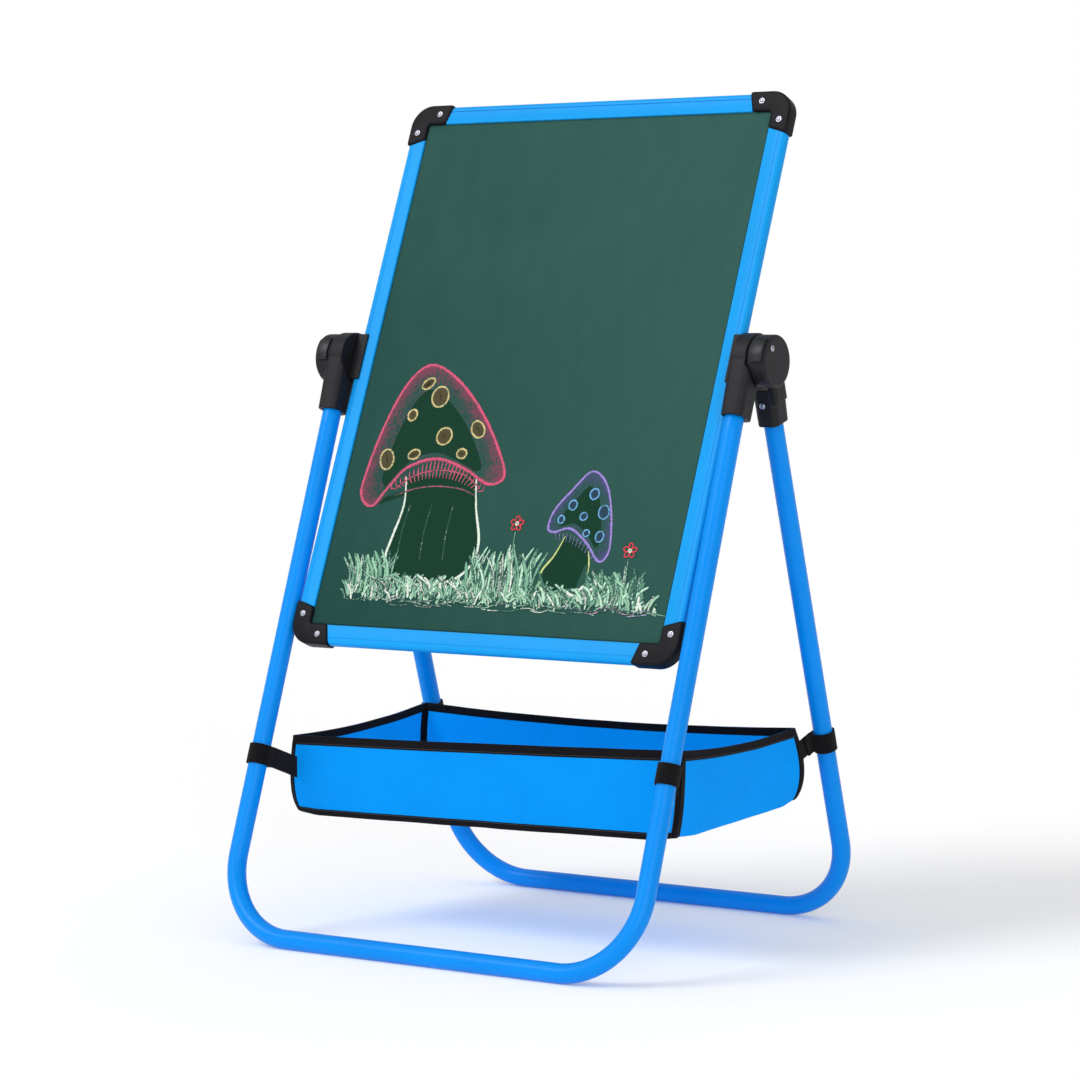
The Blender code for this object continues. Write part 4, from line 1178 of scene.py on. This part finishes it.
# %% Drawing tools
PINK, CREAM, WHITE = (0.60, 0.085, 0.17), (0.62, 0.50, 0.22), (0.66, 0.74, 0.64)
LEAF, MOSS, RED = (0.30, 0.56, 0.38), (0.002, 0.034, 0.016), (0.70, 0.04, 0.06)
VIOLET, SKY, LEMON, ROSE = (0.30, 0.22, 0.58), (0.16, 0.40, 0.72), (0.50, 0.58, 0.20), (0.55, 0.30, 0.42)
PRESS = 0.64
drawing = bmesh.new()
chalk_layer = drawing.verts.layers.float_color.new("chalk")
stroke_uv = drawing.loops.layers.uv.new("stroke")
dice = random.Random(7)
BOARD_FACE, CHALK_GAP, LAYER_STEP = -0.0041, 0.00008, 0.0000006
layers = itertools.count(1)


def stroke(points, colour, width, press=PRESS, taper=True, fade=True):
    """A ribbon through board points in millimetres; each later stroke lies a hair above the last."""
    y = BOARD_FACE - CHALK_GAP - LAYER_STEP * next(layers)
    spots = [Vector((x / 1000, y, z / 1000)) for x, z in points]
    rows = []
    for i, spot in enumerate(spots):
        run = (spots[min(i + 1, len(spots) - 1)] - spots[max(i - 1, 0)]).normalized()
        side = Vector((-run.z, 0, run.x))
        ends = min(i, len(spots) - 1 - i) / max(1, len(spots) - 1)
        half = width / 2000 * ((0.45 + min(1.0, ends * 6) * 0.55) if taper else 1.0)
        rows.append([drawing.verts.new(spot - side * half), drawing.verts.new(spot + side * half)])
        for vert in rows[-1]:
            vert[chalk_layer] = (*colour, 1.0)
    for a, b in zip(rows, rows[1:]):
        face = drawing.faces.new((a[0], a[1], b[1], b[0]))
        for loop, across_at in zip(face.loops, (0.0, 1.0, 1.0, 0.0)):
            loop[stroke_uv].uv = (across_at if fade else 0.5, press)


def curve(points, steps=10, closed=False):
    """A smooth line through the given points, or a smooth loop through them."""
    done = []
    last = len(points) - 1
    if closed:
        points = points + points[:1]
        last += 1
    for i in range(last):
        if closed:
            p0, p1, p2, p3 = (points[(i + k) % last] for k in (-1, 0, 1, 2))
        else:
            p0, p1, p2, p3 = (points[max(0, min(last, i + k))] for k in (-1, 0, 1, 2))
        for j in range(steps):
            t = j / steps
            done.append(tuple(0.5 * (2 * b + (c - a) * t + (2 * a - 5 * b + 4 * c - d) * t * t
                                     + (3 * b - a - 3 * c + d) * t ** 3)
                              for a, b, c, d in zip(p0, p1, p2, p3)))
    return done + [points[-1]]


def ring(cx, cz, rx, rz, colour, width, press=PRESS, turn=0.0):
    loop = []
    for i in range(25):
        a = math.tau * i / 24
        x, z = rx * math.cos(a), rz * math.sin(a)
        loop.append((cx + x * math.cos(turn) - z * math.sin(turn),
                     cz + x * math.sin(turn) + z * math.cos(turn)))
    stroke(loop, colour, width, press, taper=False)


def inside(points, x, z):
    """Whether a board point lies inside a closed outline."""
    hit = False
    for (x1, z1), (x2, z2) in zip(points, points[1:] + points[:1]):
        if (z1 > z) != (z2 > z) and x < (x2 - x1) * (z - z1) / (z2 - z1) + x1:
            hit = not hit
    return hit


def shading(outline, colour, press, gap, slant, width):
    """Soft side-of-the-chalk strokes that fill an outline."""
    xs, zs = [p[0] for p in outline], [p[1] for p in outline]
    left, wide = min(xs), max(xs) - min(xs)
    steps = 40
    z = min(zs) - wide * abs(slant)
    while z < max(zs) + wide * abs(slant):
        run = []
        for i in range(steps + 1):
            x = left + wide * i / steps
            spot = (x, z + slant * (x - left) + dice.uniform(-0.5, 0.5))
            if inside(outline, *spot):
                run.append(spot)
            elif len(run) > 2:
                stroke(run, colour, width, press)
                run = []
        if len(run) > 2:
            stroke(run, colour, width, press)
        z += gap


# %% [markdown]
# The big toadstool has a bell-shaped pink cap with ringed spots, a band of gills under it, and a stout
# pale stem. The small one leans beside it in violet and blue.


# %% Toadstools
FILL_RINGS = ((0.97, 0.62), (0.93, 0.56), (0.89, 0.52), (0.85, 0.49), (0.81, 0.46), (0.77, 0.43),
              (0.73, 0.40))     # scale about the middle and chalk pressure, from the rim inward


def toadstool(cap, stem, gills, spots, cap_colour, stem_colour, spot_colour, weight, fill):
    outline = curve(cap, closed=True)
    shading(outline, MOSS, 0.80, weight * 1.3, 0.35, weight * 2.6)
    cx0 = sum(x for x, _ in outline) / len(outline)
    cz0 = sum(z for _, z in outline) / len(outline)
    for shrink, press in FILL_RINGS:
        stroke([(lerp(cx0, x, shrink), lerp(cz0, z, shrink)) for x, z in outline], fill, weight * 2.4, press,
               taper=False, fade=False)
    body = curve(stem)
    shading(body + [body[0]], MOSS, 0.85, weight * 1.2, -0.2, weight * 2.6)
    for line in gills:
        stroke(line, cap_colour, weight * 0.75, 0.62)
    for cx, cz, rx, rz, turn in spots:
        ring(cx, cz, rx * 0.5, rz * 0.5, tuple(0.12 * c for c in spot_colour), rx * 1.1, 0.70, turn)
        ring(cx, cz, rx, rz, spot_colour, weight * 1.05, 0.60, turn)
    stroke(body, stem_colour, weight * 1.25, 0.70)
    stroke(outline, cap_colour, weight * 1.35, 0.66, taper=False)


big_cap = [(-133, -8), (-100, -20), (-62, -52), (-30, -92), (-13, -124), (-30, -133), (-62, -118),
           (-98, -108), (-132, -118), (-152, -142), (-166, -160), (-182, -148), (-181, -118), (-173, -75),
           (-157, -30)]
big_stem = [(-131, -128), (-126, -158), (-131, -190), (-134, -214), (-124, -232), (-86, -240), (-48, -234),
            (-28, -216), (-26, -192), (-38, -158), (-46, -126)]
gills = []
for i in range(25):
    k = i / 24
    top = (lerp(-147, -34, k), -136 + 27 * math.sin(math.pi * k))
    gills.append([top, (top[0] * 0.985 - 1.4, top[1] - 5),
                  (lerp(-139, -42, k), -141 + 13 * math.sin(math.pi * k))])
big_spots = [(-112, -42, 10, 11, 0.2), (-141, -62, 5.5, 6, 0.0), (-96, -84, 9, 9, 0.1),
             (-160, -110, 8, 11, 0.3), (-57, -76, 7, 10, 0.7), (-130, -28, 8, 5, 0.6),
             (-128, -104, 7, 5, 0.3), (-70, -102, 6, 5, -0.2)]
toadstool(big_cap, big_stem, gills, big_spots, PINK, WHITE, CREAM, 2.5, (0.20, 0.045, 0.085))
stroke(curve([(-142, -141), (-120, -126), (-92, -120), (-62, -124), (-40, -137)]), PINK, 2.0, 0.56)
stroke(curve([(-139, -148), (-116, -140), (-90, -137), (-62, -139), (-44, -145)]), PINK, 1.8, 0.52)
for i in range(3):
    stroke(curve([(-118 + i * 26, -156), (-121 + i * 27, -186), (-120 + i * 28, -214)]), WHITE, 1.6, 0.40)

small_cap = [(89, -117), (108, -129), (121, -160), (127, -196), (118, -208), (100, -190), (78, -176),
             (60, -180), (52, -176), (55, -158), (71, -136)]
small_stem = [(74, -184), (66, -204), (55, -222), (60, -240), (82, -244), (106, -240), (108, -214),
              (104, -198)]
small_gills = []
for i in range(13):
    k = i / 12
    small_gills.append([(lerp(62, 116, k), lerp(-181, -205, k) + 8 * math.sin(math.pi * k)),
                        (lerp(64, 112, k), lerp(-187, -208, k) + 4 * math.sin(math.pi * k))])
small_spots = [(97, -140, 5, 5.5, 0), (75, -152, 4.5, 5, 0), (112, -158, 6, 7, 0.2), (90, -163, 4, 4, 0),
               (113, -183, 4.5, 5.5, 0), (65, -167, 3.5, 4, 0), (97, -180, 3.5, 3.5, 0)]
toadstool(small_cap, small_stem, small_gills, small_spots, VIOLET, LEMON, SKY, 1.9, (0.07, 0.06, 0.20))

# %% Grass, ground and flowers
# Each row of GRASS is a clump: left, right, and its lowest and highest blades, in millimetres.
GRASS = [(-172, -122, 30, 40), (-30, 48, 34, 52), (118, 168, 16, 34), (-140, -20, 12, 16), (48, 128, 8, 14)]
for i in range(95):
    x = -170 + 345 * i / 94 + dice.uniform(-3, 3)
    tall = dice.uniform(14, 40) if not -126 < x < -34 and not 62 < x < 104 else dice.uniform(6, 12)
    blade = [(x, -252), (x + dice.uniform(-3, 3), -252 + tall * 0.5), (x + dice.uniform(-8, 8), -252 + tall)]
    tone = dice.choice(((0.06, 0.17, 0.11), (0.13, 0.30, 0.21), (0.02, 0.08, 0.05)))
    stroke(blade, tone, dice.uniform(6, 11), 0.60)
for left, right, low_h, high_h in GRASS:
    count = int((right - left) / 1.5)
    for i in range(count):
        x = left + (right - left) * (i + dice.random()) / count
        lean = dice.uniform(-16, 16)
        tall = dice.uniform(low_h, high_h)
        base = -249 + dice.uniform(-4, 6)
        tone = dice.choice((LEAF, WHITE, LEAF, (0.20, 0.42, 0.28), (0.48, 0.74, 0.56)))
        blade = curve([(x, base), (x + lean * 0.25, base + tall * 0.55), (x + lean, base + tall)], 4)
        stroke(blade, tone, dice.uniform(2.2, 4.4), dice.uniform(0.46, 0.66))
for i in range(150):
    x = -172 + 366 * i / 149 + dice.uniform(-2, 2)
    tall = dice.uniform(5, 17)
    lean = dice.uniform(-12, 12)
    base = -255 + dice.uniform(-5, 4)
    tone = dice.choice((LEAF, WHITE, (0.46, 0.70, 0.52), (0.24, 0.46, 0.32)))
    stroke(curve([(x, base), (x + lean * 0.4, base + tall * 0.6), (x + lean, base + tall)], 4), tone,
           dice.uniform(2.0, 4.0), dice.uniform(0.52, 0.70))
for i in range(46):
    x = -168 + 350 * i / 45 + dice.uniform(-4, 4)
    tone = dice.choice((LEAF, ROSE, WHITE, (0.42, 0.40, 0.62)) if x > -10 else (LEAF, WHITE))
    z = -257 + dice.uniform(-5, 3)
    stroke(curve([(x, z), (x + 11, z + dice.uniform(-2, 2)), (x + 22, z + dice.uniform(-3, 3))], 5), tone,
           dice.uniform(1.0, 2.0), dice.uniform(0.42, 0.56))
for fx, fz in ((15, -173), (151, -196)):
    stroke(curve([(fx + 3, fz - 44), (fx + 1, fz - 22), (fx, fz - 8)]), LEAF, 1.6, 0.54)
    for i in range(5):
        a = math.tau * i / 5 + 0.3
        ring(fx + 4.6 * math.cos(a), fz + 4.6 * math.sin(a), 3.0, 2.3, RED, 1.5, 0.66, a)
    ring(fx, fz, 1.5, 1.5, WHITE, 1.5, 0.66)
chalk_drawing = carried("chalk_drawing", drawing, CHALK, "board", place=AT_BOARD, fix=False)
if sum(p.normal.y * p.area for p in chalk_drawing.data.polygons) > 0:
    chalk_drawing.data.flip_normals()
print("chalk ribbons:", len(chalk_drawing.data.polygons), "faces")

# %% [markdown]
# ## Studio
# A plain pale floor, a white surround and large soft lamps from the upper left and the front, as on a
# catalogue table. The camera has a long lens and looks slightly down past the easel's left side.

# %% Floor, light and camera
bm = bmesh.new()
bmesh.ops.create_grid(bm, x_segments=8, y_segments=8, size=9.0)
mesh = bpy.data.meshes.new("studio_floor")
bm.to_mesh(mesh)
bm.free()
floor = new_object("studio_floor", mesh)
PALE, tree, shader = finish("pale floor", 0.85)
cloud = use(tree, "patchy colour", {"Colour": (0.92, 0.92, 0.92, 1.0), "Place": object_place(tree),
                                    "Scale": 0.7, "Darkest": 0.995, "Lightest": 1.005})
tree.links.new(cloud, shader.inputs["Base Color"])
shader.inputs["Specular IOR Level"].default_value = 0.0
shader.inputs["Emission Color"].default_value = (1.0, 1.0, 1.0, 1.0)
shader.inputs["Emission Strength"].default_value = 0.14
mesh.materials.append(PALE)

world = bpy.data.worlds.new("studio")
world.use_nodes = True
sky = world.node_tree.nodes["Background"]
sky.inputs[0].default_value = (1.0, 1.0, 1.0, 1.0)
seen = add(world.node_tree, "LightPath").outputs["Is Camera Ray"]
world.node_tree.links.new(between(world.node_tree, seen, 0.62, 1.0), sky.inputs[1])
bpy.context.scene.world = world


def lamp(name, kind, at, aim, size, power):
    light = bpy.data.lights.new(name, kind)
    light.energy = power
    if kind == "SUN":
        light.angle = math.radians(size)
    else:
        light.shape, light.size = "DISK", size
    made = new_object(name, light)
    made.location = at
    made.rotation_euler = (Vector(aim) - Vector(at)).to_track_quat("-Z", "Y").to_euler()


lamp("key_sun", "SUN", (-1.5, -2.2, 2.6), (0, 0, 0), 26.0, 1.15)
lamp("right_sun", "SUN", (2.2, -2.5, 0.70), (0, 0, 0), 40.0, 0.95)
lamp("front_softbox", "AREA", (-1.0, -2.6, 1.2), (0, 0, 0.45), 0.5, 3.5)

camera_data = bpy.data.cameras.new("camera")
camera_data.lens, camera_data.sensor_width = 115.974, 36.0
camera_data.clip_start, camera_data.clip_end = 0.05, 60.0
camera = new_object("camera", camera_data)
camera.location = (1.925858, -2.850898, 0.640238)
camera.rotation_euler = tuple(math.radians(a) for a in (85.8735, 0.4502, 33.9683))
bpy.context.scene.camera = camera
bpy.context.scene.view_settings.view_transform = "Standard"
print("camera looks from", [round(c, 2) for c in camera.location])
